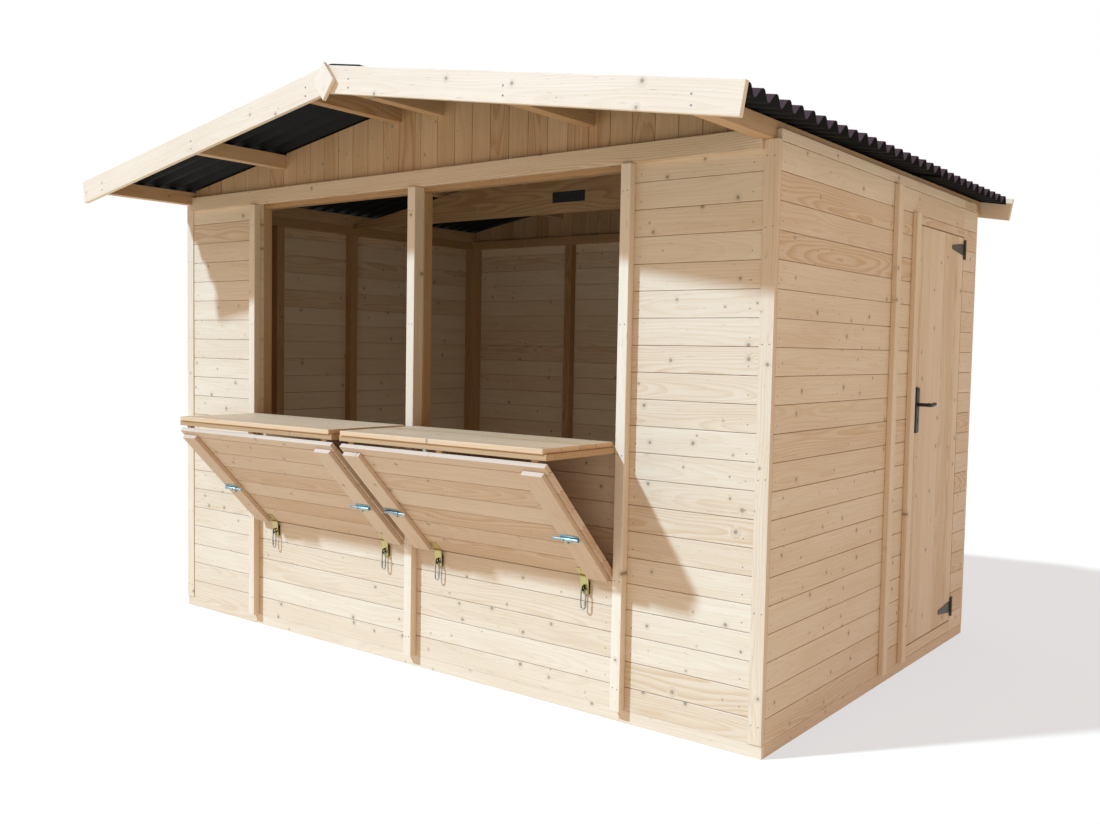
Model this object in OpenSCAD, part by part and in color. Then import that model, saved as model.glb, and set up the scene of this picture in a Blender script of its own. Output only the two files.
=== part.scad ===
// Wooden market stall: a boarded timber hut with two serving windows, fold-down
// shutters under two counters, a side door and a corrugated gable roof.
// The front faces -Y, +X is to the right, +Z is up. The origin is on the ground,
// in the middle of the space that the roof covers.

/* [Overall] */
// Width of the stall over its side boards
stall_w = 3000; // [2600:50:4200]
// Depth of the stall over its front and rear boards
stall_d = 1970; // [1700:10:2800]
// Height of the walls, up to the underside of the eave purlins
wall_h = 1880; // [1750:10:2400]
// Pitch of the roof in degrees
roof_pitch = 9.5; // [5:0.5:18]
// How far the purlins reach in front of the front wall
front_overhang = 430; // [420:10:700]
// How far the purlins reach behind the rear wall
rear_overhang = 100; // [30:10:300]
// How far the roof sheets reach past the side boards
eave_overhang = 90; // [40:5:200]

/* [Walls] */
// Thickness of the wall boards
board_t = 18; // [12:1:28]
// Depth of the frame timbers behind the boards
stud_d = 44; // [34:1:70]
// Width of the frame timbers
stud_w = 45; // [30:1:60]
// Height of the boards at the foot of the walls
skirting_h = 42; // [30:1:90]
// Height by which the side boards cover the eave purlins
side_lap = 32; // [0:1:50]
// Width of the upright corner boards
corner_w = 48; // [40:1:80]
// How far the corner boards stand proud of the wall boards
corner_proud = 4; // [1:1:12]
// Width of the upright window trims
trim_w = 38; // [30:1:60]
// How far the window trims stand proud of the wall boards
trim_t = 32; // [16:1:45]
// Width of the upright trims on the side walls
side_trim_w = 45; // [30:1:60]
// How far the side trims stand proud of the wall boards
side_trim_t = 20; // [10:1:35]
// Height of the band across the front and the rear
band_h = 62; // [40:1:90]
// How far the band stands proud of the wall boards
band_t = 20; // [10:1:30]
// How far the band hangs below the top of the wall
band_drop = 30; // [20:1:44]

/* [Windows and counters] */
// Clear width of each of the two windows
window_w = 937; // [700:1:1150]
// Width of the post between the windows
mullion_w = 40; // [30:1:70]
// Height of the window sill
sill_z = 900; // [800:10:1050]
// Depth of each counter, front to back
counter_d = 380; // [250:5:405]
// Gap between the wall boards and the back edge of a counter
counter_back = 25; // [5:1:40]
// Thickness of the counter boards
counter_t = 17; // [14:1:30]
// Thickness of the rails under a counter
rail_t = 20; // [14:1:30]
// Width of the rails under a counter
rail_w = 40; // [30:1:60]
// Gap between a counter board and the edge of its window, at each end
counter_gap = 10; // [6:1:20]

/* [Shutters] */
// Height of the lower edge of the fold-down shutters
shutter_foot = 490; // [420:10:560]
// Distance from a counter's front edge back to the shutter's top edge
shutter_set_back = 16; // [5:1:40]
// Thickness of a shutter
shutter_t = 18; // [14:1:28]
// Gap between a shutter and the window trims
shutter_gap = 4; // [3:1:10]
// Width of the upright battens on a shutter
batten_w = 85; // [60:1:110]
// Thickness of the battens on a shutter
batten_t = 18; // [12:1:26]
// Distance from a batten to the shutter's side edge
batten_inset = 12; // [6:1:30]

/* [Door] */
// Distance from the front of the stall to the door opening
door_y = 1212; // [1050:1:1250]
// Width of the door leaf
door_w = 575; // [500:1:600]
// Height of the door leaf's lower edge
door_z = 93; // [90:1:140]
// Height of the door leaf
door_h = 1657; // [1560:1:1670]
// Running gap around the door leaf
door_gap = 5; // [5:1:8]
// Thickness of the ledges on the inside of the door
ledge_t = 20; // [14:1:30]
// Distance from the front of the stall to the middle of the side trim
side_trim_y = 975; // [900:1:1000]

/* [Roof] */
// Width of a purlin
purlin_w = 45; // [35:1:60]
// Height of a purlin
purlin_h = 57; // [45:1:90]
// Distance from the ridge to the middle of a ridge purlin
ridge_purlin_x = 112; // [90:1:160]
// Distance from the ridge to the middle of a middle purlin
middle_purlin_x = 804; // [650:1:900]
// Distance between the crests of the roof sheets
wave_pitch = 81; // [60:1:100]
// Height of the waves in the roof sheets
wave_h = 30; // [18:1:40]
// Thickness of the roof sheets
sheet_t = 3; // [2:0.5:4]
// Width of the ridge cap on each side of the ridge
cap_w = 150; // [100:5:220]
// Upright height of the barge boards
barge_h = 96; // [80:1:140]
// How far the barge boards rise above the underside of the sheets
barge_rise = 28; // [10:1:40]
// Thickness of the barge boards
barge_t = 18; // [14:1:28]
// How far the barge boards reach past the side boards
barge_overhang = 120; // [60:5:240]
// Width of the diamond plate over the barge joint
finial_w = 104; // [80:2:140]
// Height of the diamond plate
finial_h = 134; // [100:2:180]
// Thickness of the diamond plate
finial_t = 16; // [12:1:24]

/* [Middle truss] */
// Thickness of the tie beam
truss_t = 28; // [20:1:50]
// Height of the tie beam
tie_h = 150; // [100:5:200]
// How far the tie beam hangs below the top of the walls
tie_drop = 15; // [0:1:40]

/* [Hidden] */

pine = "#d8b88c";
pale_pine = "#efe6dc";
dark_pine = "#8a6b45";
bitumen = "#241a1d";
black_steel = "#1c1c1e";
zinc = "#b9c2c8";
gold_zinc = "#b49a45";

// Half the width, and the Y of the front and rear board faces. The roof's
// front and rear ends are equally far from the origin.
hw = stall_w / 2;
yf = (front_overhang - rear_overhang - stall_d) / 2;
yr = yf + stall_d;
wall_t = board_t + stud_d;
inner_x = hw - wall_t;
roof_y0 = yf - front_overhang;
roof_y1 = yr + rear_overhang;
roof_l = roof_y1 - roof_y0;
fall = tan(roof_pitch);
eave_purlin_x = hw - board_t - purlin_w / 2;
part_gap = 0.5;
contact_gap = 0.3;

// Height of the roof sheets' underside at a distance x from the ridge
function under(x) = wall_h + purlin_h + fall * (hw - board_t - abs(x));
// Height of the underside of a purlin whose middle is x from the ridge
function purlin_z(x) = under(x + purlin_w / 2) - purlin_h;

window_x0 = mullion_w / 2;
window_x1 = window_x0 + window_w;
head_z = wall_h - stud_w;
band_z = wall_h - band_drop;
// The counter's rail lies on the sill, and the boards lie on the rail
sill_pad = 5;
counter_rail_z = sill_z + sill_pad;
counter_z = counter_rail_z + rail_t + counter_t;
spacer_h = 8.5;
shutter_top_z = counter_rail_z - spacer_h;
shutter_x0 = window_x0 + shutter_gap;
shutter_x1 = window_x1 - shutter_gap;
shutter_y = yf - contact_gap;
shutter_top_y = yf - counter_back - counter_d + shutter_set_back;
shutter_run = shutter_y - shutter_top_y;
shutter_drop = shutter_top_z - shutter_foot;
shutter_len = sqrt(pow(shutter_run, 2) + pow(shutter_drop, 2));
// Angle between a shutter and the wall
shutter_tilt = atan2(shutter_run, shutter_drop);

door_y0 = yf + door_y;
door_y1 = door_y0 + door_w;
door_z1 = door_z + door_h;
side_clad_y0 = yf + board_t;
side_clad_y1 = yr - board_t;
side_clad_z1 = wall_h + side_lap;

// ---- small helpers ----

// A block between two corners
module block(x0, x1, y0, y1, z0, z1) {
    translate([x0, y0, z0]) cube([x1 - x0, y1 - y0, z1 - z0]);
}

// Its children, and their mirror image on the other side of the ridge
module both_sides() {
    children();
    mirror([1, 0, 0]) children();
}

// An outline in X and Z, given a thickness from y0 to y1
module upright_plate(points, y0, y1) {
    translate([0, y1, 0]) rotate([90, 0, 0])
        linear_extrude(height = y1 - y0) polygon(points);
}

// Places its children on a shutter: X across, Y up the slope from the foot,
// Z out of the outer face
module on_shutter() {
    translate([0, shutter_y, shutter_foot])
        rotate([90 + shutter_tilt, 0, 0]) children();
}

// ---- walls ----

module front_panel_side() {
    block(window_x1, hw - corner_w, yf, yf + board_t, skirting_h, wall_h);
}

module front_wall_left() {
    color(pine) mirror([1, 0, 0]) front_panel_side();
}

module front_wall_right() {
    color(pine) front_panel_side();
}

module front_wall_low() {
    color(pine) block(-window_x1, window_x1, yf, yf + board_t, skirting_h, sill_z);
}

// A boarded gable with a slot for each purlin
module gable(y0, foot_half, foot_z) {
    half = inner_x;
    difference() {
        union() {
            upright_plate([[-half, wall_h], [half, wall_h], [half, under(half) - part_gap],
                [0, under(0) - part_gap], [-half, under(half) - part_gap]], y0, y0 + board_t);
            block(-foot_half, foot_half, y0, y0 + board_t, foot_z, wall_h + 1);
        }
        both_sides() {
            purlin_slot(ridge_purlin_x, y0);
            purlin_slot(middle_purlin_x, y0);
            purlin_slot(eave_purlin_x, y0);
        }
    }
}

module purlin_slot(x, y0) {
    block(x - purlin_w / 2 - part_gap, x + purlin_w / 2 + part_gap, y0 - 1, y0 + board_t + 1,
        purlin_z(x) - part_gap, purlin_z(x) + 2 * purlin_h);
}

module front_gable() {
    color(pine) gable(yf, window_x1, band_z);
}

module rear_wall() {
    color(pine) block(-hw + corner_w, hw - corner_w, yr - board_t, yr, skirting_h, wall_h);
}

module rear_gable() {
    color(pine) gable(yr - board_t, window_x1, wall_h);
}

module left_wall() {
    color(pine) block(-hw, -hw + board_t, side_clad_y0, side_clad_y1, skirting_h, side_clad_z1);
}

module right_wall_front() {
    color(pine) block(hw - board_t, hw, side_clad_y0, door_y0 - door_gap,
        skirting_h, side_clad_z1);
}

module right_wall_over_door() {
    color(pine) block(hw - board_t, hw, door_y0 - door_gap, door_y1 + door_gap,
        door_z1 + door_gap, side_clad_z1);
}

module right_wall_rear() {
    color(pine) block(hw - board_t, hw, door_y1 + door_gap, side_clad_y1,
        skirting_h, side_clad_z1);
}

// ---- frames behind the boards ----

// An upright timber of a front or rear frame, from the floor rail to the top rail
module frame_post(x, y0, z0, z1) {
    block(x - stud_w / 2, x + stud_w / 2, y0, y0 + stud_d, z0, z1);
}

module front_frame() {
    y0 = yf + board_t;
    end_x = inner_x - stud_w / 2;
    color(dark_pine) {
        block(-inner_x, inner_x, y0, y0 + stud_d, 0, stud_w);
        block(-inner_x, inner_x, y0, y0 + stud_d, head_z, wall_h);
        block(-window_x1, window_x1, y0, y0 + stud_d, sill_z - stud_w, sill_z);
        frame_post(0, y0, 0, wall_h);
        both_sides() {
            frame_post(end_x, y0, 0, wall_h);
            frame_post(window_x1 + stud_w / 2, y0, 0, wall_h);
        }
    }
}

module rear_frame() {
    y0 = yr - wall_t;
    end_x = inner_x - stud_w / 2;
    color(dark_pine) {
        block(-inner_x, inner_x, y0, y0 + stud_d, 0, stud_w);
        block(-inner_x, inner_x, y0, y0 + stud_d, head_z, wall_h);
        frame_post(0, y0, 0, wall_h);
        both_sides() {
            frame_post(end_x, y0, 0, wall_h);
            frame_post(end_x / 2, y0, 0, wall_h);
        }
    }
}

// An upright timber of a side frame
module side_post(y, z0, z1) {
    block(inner_x, inner_x + stud_d, y - stud_w / 2, y + stud_w / 2, z0, z1);
}

module side_frame_rails() {
    block(inner_x, inner_x + stud_d, yf + board_t, yr - board_t, 0, stud_w);
    block(inner_x, inner_x + stud_d, yf + board_t, yr - board_t, head_z, wall_h);
    side_post(yf + board_t + stud_w / 2, 0, wall_h);
    side_post(yr - board_t - stud_w / 2, 0, wall_h);
    side_post(yf + side_trim_y, 0, wall_h);
    side_post(yf + side_trim_y / 2, 0, wall_h);
}

module left_frame() {
    color(dark_pine) mirror([1, 0, 0]) {
        side_frame_rails();
        side_post(yf + (side_trim_y + stall_d) / 2, 0, wall_h);
    }
}

module right_frame() {
    jamb0 = door_y0 - door_gap - stud_w / 2;
    jamb1 = door_y1 + door_gap + stud_w / 2;
    color(dark_pine) {
        side_frame_rails();
        side_post(jamb0, 0, wall_h);
        side_post(jamb1, 0, wall_h);
        block(inner_x, inner_x + stud_d, jamb0, jamb1,
            door_z1 + door_gap, door_z1 + door_gap + stud_w);
        block(inner_x, inner_x + stud_d, jamb0, jamb1, 0, door_z - door_gap);
    }
}

// ---- trims and boards on the walls ----

module corner_boards() {
    color(pine) both_sides() {
        block(hw - corner_w, hw, yf - corner_proud, yf + board_t, skirting_h, wall_h);
        block(hw - corner_w, hw, yr - board_t, yr + corner_proud, skirting_h, wall_h);
    }
}

module front_trims() {
    color(pale_pine) {
        block(-mullion_w / 2, mullion_w / 2, yf - trim_t, yf, skirting_h, sill_z);
        block(-mullion_w / 2, mullion_w / 2, yf - trim_t, yf + board_t, sill_z, band_z);
        both_sides()
            block(window_x1, window_x1 + trim_w, yf - trim_t, yf, skirting_h, band_z);
    }
}

// A trim on each side wall, and one beside the door that ends above its head
module side_trims() {
    trim_top_gap = 8;
    reveal = 8;
    over_door = 40;
    y0 = yf + side_trim_y - side_trim_w / 2;
    jamb_y1 = door_y0 - door_gap - reveal;
    color(pine) {
        both_sides() block(hw, hw + side_trim_t, y0, y0 + side_trim_w,
            skirting_h, wall_h - trim_top_gap);
        block(hw, hw + side_trim_t, jamb_y1 - side_trim_w, jamb_y1,
            skirting_h, door_z1 + over_door);
    }
}

// Bands between the corner boards, cut short where the eave purlins pass
module top_bands() {
    half = hw - corner_w;
    purlin_half = eave_purlin_x - purlin_w / 2 - part_gap;
    color(pine) for (y = [yf - band_t, yr]) {
        block(-half, half, y, y + band_t, band_z, wall_h - part_gap);
        block(-purlin_half, purlin_half, y, y + band_t, wall_h - 1, band_z + band_h);
    }
}

// One ring of boards at the foot, with the board under the door
module skirting_boards() {
    color(pine) {
        difference() {
            block(-hw, hw, yf, yr, 0, skirting_h);
            block(-hw + board_t, hw - board_t, yf + board_t, yr - board_t, -1, skirting_h + 1);
        }
        block(hw - board_t, hw, door_y0 - door_gap, door_y1 + door_gap,
            skirting_h - 1, door_z - door_gap);
    }
}

// ---- door ----

hinge_strap_l = 150;
hinge_plate_h = 82;
hinge_plate_w = 26;
hinge_sheet_t = 2.5;
knuckle_r = 5;
hinge_pin_r = 2.5;
pin_clear = 0.3;
pin_proud = 6;
pin_x = hw + pin_proud;
pin_y = door_y1 + door_gap / 2;
hinge_zs = [door_z + 60, door_z1 - 50];
lock_z = 1030;
lever_z = lock_z + 22;
lock_backset = 52;
lock_y = door_y0 + lock_backset;
lock_plate_size = [9, 38, 180];
lever_neck_r = 8;
lever_clear = 0.4;
lever_reach = 46;
lever_l = 118;
lever_r = 8;
lever_knob_r = 8.6;

ledge_h = 85;
ledge_zs = [door_z + 120, (door_z + door_z1) / 2 - 40, door_z1 - 115 - ledge_h];

// The upright boards of the leaf, with three ledges across the inside
module door_leaf() {
    color(pine) difference() {
        union() {
            block(hw - board_t, hw, door_y0, door_y1, door_z, door_z1);
            for (z = ledge_zs)
                block(hw - board_t - ledge_t, hw - board_t + 1,
                    door_y0 + 20, door_y1 - 40, z, z + ledge_h);
        }
        translate([hw - board_t - ledge_t - 1, lock_y, lever_z]) rotate([0, 90, 0])
            cylinder(r = lever_neck_r + lever_clear, h = board_t + ledge_t + 2, $fn = 48);
    }
}

// The fixed half of a T hinge: a plate, two knuckles and the pin
module hinge_plate(z) {
    third = hinge_plate_h / 3;
    difference() {
        union() {
            block(hw, hw + hinge_sheet_t, pin_y + knuckle_r + 1, pin_y + knuckle_r + hinge_plate_w,
                z - hinge_plate_h / 2, z + hinge_plate_h / 2);
            for (s = [-1, 1]) {
                translate([pin_x, pin_y, z + s * third - third / 2])
                    cylinder(r = knuckle_r, h = third, $fn = 32);
                block(pin_x - knuckle_r, pin_x - knuckle_r + hinge_sheet_t,
                    pin_y, pin_y + knuckle_r + 2,
                    z + s * third - third / 2, z + s * third + third / 2);
            }
        }
        block(pin_x - 8, pin_x + 8, pin_y - 8, pin_y + knuckle_r + 0.9,
            z - third / 2 - pin_clear, z + third / 2 + pin_clear);
    }
    translate([pin_x, pin_y, z - hinge_plate_h / 2])
        cylinder(r = hinge_pin_r, h = hinge_plate_h, $fn = 32);
}

module door_hinge_plates() {
    color(black_steel) for (z = hinge_zs) hinge_plate(z);
}

// The moving half: a tapered strap on the door and the middle knuckle
module door_hinge_straps() {
    third = hinge_plate_h / 3;
    knuckle_h = third - 2 * pin_clear;
    root_y = pin_y - knuckle_r - 1.5;
    color(black_steel) for (z = hinge_zs) difference() {
        union() {
            translate([hw + contact_gap, 0, 0]) rotate([90, 0, 90])
                linear_extrude(height = hinge_sheet_t)
                    polygon([[pin_y, z - knuckle_h / 2], [pin_y, z + knuckle_h / 2],
                        [root_y, z + knuckle_h / 2],
                        [root_y - 8, z + 24], [pin_y - hinge_strap_l, z + 9],
                        [pin_y - hinge_strap_l - 6, z], [pin_y - hinge_strap_l, z - 9],
                        [root_y - 8, z - 24], [root_y, z - knuckle_h / 2]]);
            translate([pin_x, pin_y, z - knuckle_h / 2])
                cylinder(r = knuckle_r, h = knuckle_h, $fn = 32);
        }
        translate([pin_x, pin_y, z - knuckle_h])
            cylinder(r = hinge_pin_r + pin_clear, h = 2 * knuckle_h, $fn = 32);
    }
}

// Long plates on both faces of the door
module lock_plates() {
    color(black_steel) for (x = [hw, hw - board_t - ledge_t - lock_plate_size[0]])
        difference() {
            block(x, x + lock_plate_size[0], lock_y - lock_plate_size[1] / 2,
                lock_y + lock_plate_size[1] / 2,
                lock_z - lock_plate_size[2] / 2, lock_z + lock_plate_size[2] / 2);
            translate([x - 1, lock_y, lever_z]) rotate([0, 90, 0])
                cylinder(r = lever_neck_r + lever_clear, h = lock_plate_size[0] + 2, $fn = 48);
        }
}

// Both lever arms on one spindle
module door_lever() {
    x0 = hw - board_t - ledge_t - lock_plate_size[0] - lever_reach;
    x1 = hw + lock_plate_size[0] + lever_reach;
    color(black_steel) {
        translate([x0, lock_y, lever_z]) rotate([0, 90, 0])
            cylinder(r = lever_neck_r, h = x1 - x0, $fn = 48);
        for (x = [x0, x1]) {
            translate([x, lock_y, lever_z]) sphere(r = lever_knob_r, $fn = 32);
            translate([x, lock_y, lever_z]) rotate([-90, 0, 0])
                cylinder(r = lever_r, h = lever_l, $fn = 32);
            translate([x, lock_y + lever_l, lever_z]) sphere(r = lever_knob_r, $fn = 32);
        }
    }
}

// ---- roof ----

module purlin(x) {
    block(x - purlin_w / 2, x + purlin_w / 2, roof_y0, roof_y1,
        purlin_z(x), purlin_z(x) + purlin_h - contact_gap);
}

module eave_purlins() {
    color(pine) both_sides() purlin(eave_purlin_x);
}

module middle_purlins() {
    color(pine) both_sides() purlin(middle_purlin_x);
}

module ridge_purlins() {
    color(pine) both_sides() purlin(ridge_purlin_x);
}

// A corrugated sheet from the ridge to the eave. Each wave has a flat crest
// and a flat trough.
waves = round(roof_l / wave_pitch);
pitch = (roof_l - 2) / waves;
wave_shape = [[0, 0], [0.18, 0], [0.5, 1], [0.68, 1]];
wave_line = [for (i = [0 : waves - 1]) for (p = wave_shape)
    [(i + p[0]) * pitch, p[1] * wave_h]];
sheet_line = concat(wave_line, [[waves * pitch, 0]]);
sheet_outline = concat(sheet_line,
    [for (i = [len(sheet_line) - 1 : -1 : 0]) sheet_line[i] + [0, sheet_t]]);
ridge_gap = 4;
slope_len = (hw + eave_overhang) / cos(roof_pitch);

module roof_sheet() {
    translate([0, roof_y0 + 1, under(0)]) rotate([0, roof_pitch, 0])
        translate([ridge_gap, 0, 0]) rotate([90, 0, 90])
            linear_extrude(height = slope_len - ridge_gap) polygon(sheet_outline);
}

module roof_sheet_right() {
    color(bitumen) roof_sheet();
}

module roof_sheet_left() {
    color(bitumen) mirror([1, 0, 0]) roof_sheet();
}

// A folded cap over the ridge, lying on the crests
module ridge_cap() {
    foot = (wave_h + sheet_t) / cos(roof_pitch) + contact_gap;
    color(bitumen) upright_plate([
        [-cap_w, under(cap_w) + foot], [0, under(0) + foot], [cap_w, under(cap_w) + foot],
        [cap_w, under(cap_w) + foot + sheet_t], [0, under(0) + foot + sheet_t],
        [-cap_w, under(cap_w) + foot + sheet_t]], roof_y0 + 1, roof_y1 - 1);
}

barge_x1 = hw + barge_overhang;
barge_fall = barge_h - barge_rise;

// A barge board on the right, cut square at its lower end
module barge_board(y0) {
    end_cut = barge_h * cos(roof_pitch) * sin(roof_pitch);
    upright_plate([[part_gap, under(0) + barge_rise], [part_gap, under(0) - barge_fall],
        [barge_x1 - end_cut, under(barge_x1 - end_cut) - barge_fall],
        [barge_x1, under(barge_x1) + barge_rise]], y0, y0 + barge_t);
}

module barge_boards_right() {
    color(pale_pine) {
        barge_board(roof_y0 - barge_t);
        barge_board(roof_y1);
    }
}

module barge_boards_left() {
    color(pale_pine) mirror([1, 0, 0]) {
        barge_board(roof_y0 - barge_t);
        barge_board(roof_y1);
    }
}

module finial(y0) {
    below_middle = 10;
    z = under(0) + (barge_rise - barge_fall) / 2 - below_middle;
    upright_plate([[0, z - finial_h / 2], [finial_w / 2, z],
        [0, z + finial_h / 2], [-finial_w / 2, z]], y0, y0 + finial_t);
}

module finials() {
    color(pale_pine) {
        finial(roof_y0 - barge_t - finial_t);
        finial(roof_y1 + barge_t);
    }
}

// ---- middle truss ----

truss_y = yf + side_trim_y - truss_t / 2;
tie_z = wall_h - tie_drop;
// Height under which the truss stays clear of the purlins
function truss_top(x) = under(x) - purlin_h - fall * purlin_w - contact_gap;

module truss() {
    half = eave_purlin_x - purlin_w / 2 - part_gap;
    tie_top = tie_z + tie_h;
    knee = (truss_top(0) - tie_top) / fall;
    side_cut = hw - wall_t;
    color(dark_pine) difference() {
        union() {
            upright_plate([[-half, tie_z], [half, tie_z], [half, truss_top(half)],
                [knee, tie_top], [-knee, tie_top], [-half, truss_top(half)]],
                truss_y, truss_y + truss_t);
            both_sides() block(ridge_purlin_x - purlin_w / 2, ridge_purlin_x + purlin_w / 2,
                truss_y, truss_y + truss_t, tie_top - 1,
                purlin_z(ridge_purlin_x) - contact_gap);
        }
        both_sides() block(side_cut, hw, truss_y - 1, truss_y + truss_t + 1,
            0, wall_h + part_gap);
    }
}

truss_plate_size = [180, 3, 48];

module truss_plate() {
    z0 = tie_z + 45;
    color(black_steel) block(-truss_plate_size[0] / 2, truss_plate_size[0] / 2,
        truss_y - truss_plate_size[1], truss_y, z0, z0 + truss_plate_size[2]);
}

// ---- counters ----

counter_x0 = window_x0 + counter_gap;
counter_x1 = window_x1 - counter_gap;
counter_y0 = yf - counter_back - counter_d;
counter_y1 = yf - counter_back;

module counter() {
    block(counter_x0, counter_x1, counter_y0, counter_y1,
        counter_z - counter_t, counter_z);
}

module counter_left() {
    color(pale_pine) mirror([1, 0, 0]) counter();
}

module counter_right() {
    color(pale_pine) counter();
}

rail_inset = 6;
spacer_w = 25;

// The rails under one counter: one along the front, one at each end that
// runs back over the sill, and three spacers on the shutter's top edge
module counter_rail_set() {
    z0 = counter_rail_z;
    z1 = z0 + rail_t;
    front_y = counter_y0 + rail_inset;
    back_y = yf + board_t;
    rail_x0 = window_x0 + part_gap;
    rail_x1 = window_x1 - part_gap;
    block(rail_x0, rail_x1, front_y, front_y + rail_w, z0, z1);
    block(rail_x0, rail_x0 + rail_w, front_y, back_y, z0, z1);
    block(rail_x1 - rail_w, rail_x1, front_y, back_y, z0, z1);
    block(rail_x0, rail_x0 + rail_w, yf, back_y, sill_z, z0 + 1);
    block(rail_x1 - rail_w, rail_x1, yf, back_y, sill_z, z0 + 1);
    for (x = [rail_x0 + rail_w, (rail_x0 + rail_x1) / 2, rail_x1 - rail_w - spacer_w])
        block(x, x + spacer_w, shutter_top_y - 3, shutter_top_y + 15,
            shutter_top_z + contact_gap, z0 + 1);
}

module counter_rails() {
    color(pine) both_sides() counter_rail_set();
}

// ---- shutters ----

// The outer face of a shutter is at Z = shutter_t in its own frame
module shutter() {
    on_shutter() translate([shutter_x0, 0, 0])
        cube([shutter_x1 - shutter_x0, shutter_len, shutter_t]);
}

module shutter_left() {
    color(pine) mirror([1, 0, 0]) shutter();
}

module shutter_right() {
    color(pine) shutter();
}

batten_foot = 8;
batten_top = 22;

module batten(x) {
    translate([x, batten_foot, shutter_t])
        cube([batten_w, shutter_len - batten_foot - batten_top, batten_t]);
}

module shutter_battens() {
    color(pine) both_sides() on_shutter() {
        batten(shutter_x0 + batten_inset);
        batten(shutter_x1 - batten_inset - batten_w);
    }
}

// A barrel bolt, lying across a batten, drawn back towards the middle
bolt_up = 0.42 * shutter_len;
bolt_plate = [78, 30, 2];
bolt_barrel_r = 6;
bolt_rod_r = 4;

module barrel_bolt() {
    rod_l = bolt_plate[0] + 34;
    translate([0, -bolt_plate[1] / 2, 0]) cube(bolt_plate);
    translate([4, 0, bolt_plate[2] + bolt_barrel_r - 1]) rotate([0, 90, 0])
        cylinder(r = bolt_barrel_r, h = bolt_plate[0] - 8, $fn = 32);
    translate([-34, 0, bolt_plate[2] + bolt_barrel_r - 1]) rotate([0, 90, 0])
        cylinder(r = bolt_rod_r, h = rod_l - 4, $fn = 32);
    translate([bolt_plate[0] * 0.3, 0, bolt_plate[2] + bolt_barrel_r - 1]) rotate([90, 0, 0])
        cylinder(r = 3, h = 24, $fn = 32);
}

module shutter_bolts() {
    mid = batten_w / 2;
    color(zinc) both_sides() on_shutter() {
        translate([shutter_x1 - batten_inset - mid - bolt_plate[0] / 2, bolt_up,
            shutter_t + batten_t]) barrel_bolt();
        translate([shutter_x0 + batten_inset + mid + bolt_plate[0] / 2, bolt_up,
            shutter_t + batten_t]) mirror([1, 0, 0]) barrel_bolt();
    }
}

// A hasp on the shutter beside each batten's foot. Its short leaf is on the
// shutter's outer face, and its slotted leaf hangs to the wall.
hasp_w = 34;
hasp_t = 2;
hasp_knuckle_r = 4;
hasp_leaf_l = 45;
hasp_x = [shutter_x0 + batten_inset + batten_w + 8,
    shutter_x1 - batten_inset - batten_w - 8 - hasp_w];
// Y and Z of the hasp's knuckle, just past the shutter's lower outer edge
hasp_knuckle = [
    shutter_y - shutter_t * cos(shutter_tilt) - 3,
    shutter_foot - shutter_t * sin(shutter_tilt) - 3];
hasp_hang_l = 62;
hasp_slot = [9, 26];
hasp_slot_end = 8;
hasp_foot_gap = 9;
hasp_lean = asin((yf - hasp_foot_gap - hasp_knuckle[0]) / hasp_hang_l);
// The staple's eye is at the middle of the slot
staple_z = hasp_knuckle[1]
    - (hasp_hang_l - hasp_slot_end - hasp_slot[1] / 2) * cos(hasp_lean);

module hasps() {
    color(gold_zinc) both_sides() for (x = hasp_x) {
        on_shutter() translate([x, -1, shutter_t]) cube([hasp_w, hasp_leaf_l, hasp_t]);
        translate([x - 1, hasp_knuckle[0], hasp_knuckle[1]]) rotate([0, 90, 0])
            cylinder(r = hasp_knuckle_r, h = hasp_w + 2, $fn = 32);
        translate([x, hasp_knuckle[0], hasp_knuckle[1]]) rotate([hasp_lean, 0, 0])
            difference() {
                translate([0, -hasp_t / 2, -hasp_hang_l])
                    cube([hasp_w, hasp_t, hasp_hang_l]);
                translate([(hasp_w - hasp_slot[0]) / 2, -2 * hasp_t,
                    -hasp_hang_l + hasp_slot_end])
                    cube([hasp_slot[0], 4 * hasp_t, hasp_slot[1]]);
            }
    }
}

staple_r = 2.5;
staple_reach = 25;
staple_half = 8;
staple_plate_t = 2;

// A plate on the wall with a square eye that passes through the hasp's slot
module hasp_staples() {
    color(gold_zinc) both_sides() for (x = hasp_x) {
        mid = x + hasp_w / 2;
        block(mid - 14, mid + 14, yf - staple_plate_t, yf, staple_z - 22, staple_z + 22);
        for (s = [-1, 1]) translate([mid, yf - 1, staple_z + s * staple_half])
            rotate([90, 0, 0]) cylinder(r = staple_r, h = staple_reach, $fn = 24);
        translate([mid, yf - staple_reach, staple_z - staple_half - staple_r])
            cylinder(r = staple_r, h = 2 * (staple_half + staple_r), $fn = 24);
    }
}

// A snap hook hanging from the lower bar of each staple's eye
hook_r = 2.5;
hook_bend_r = 9;
hook_l = 74;
hook_y = yf - staple_reach + 6;
hook_top_z = staple_z - staple_half + staple_r + contact_gap - (hook_bend_r - hook_r);

module hook_bend() {
    rotate([90, 0, 0]) rotate_extrude(angle = 180, $fn = 48)
        translate([hook_bend_r, 0]) circle(r = hook_r, $fn = 24);
}

module snap_hook() {
    straight = hook_l - 2 * (hook_bend_r + hook_r);
    for (s = [-1, 1]) translate([s * hook_bend_r, 0, -straight])
        cylinder(r = hook_r, h = straight, $fn = 24);
    hook_bend();
    translate([0, 0, -straight]) rotate([180, 0, 0]) hook_bend();
}

module snap_hooks() {
    color(zinc) both_sides() for (x = hasp_x)
        translate([x + hasp_w / 2, hook_y, hook_top_z]) snap_hook();
}

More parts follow.
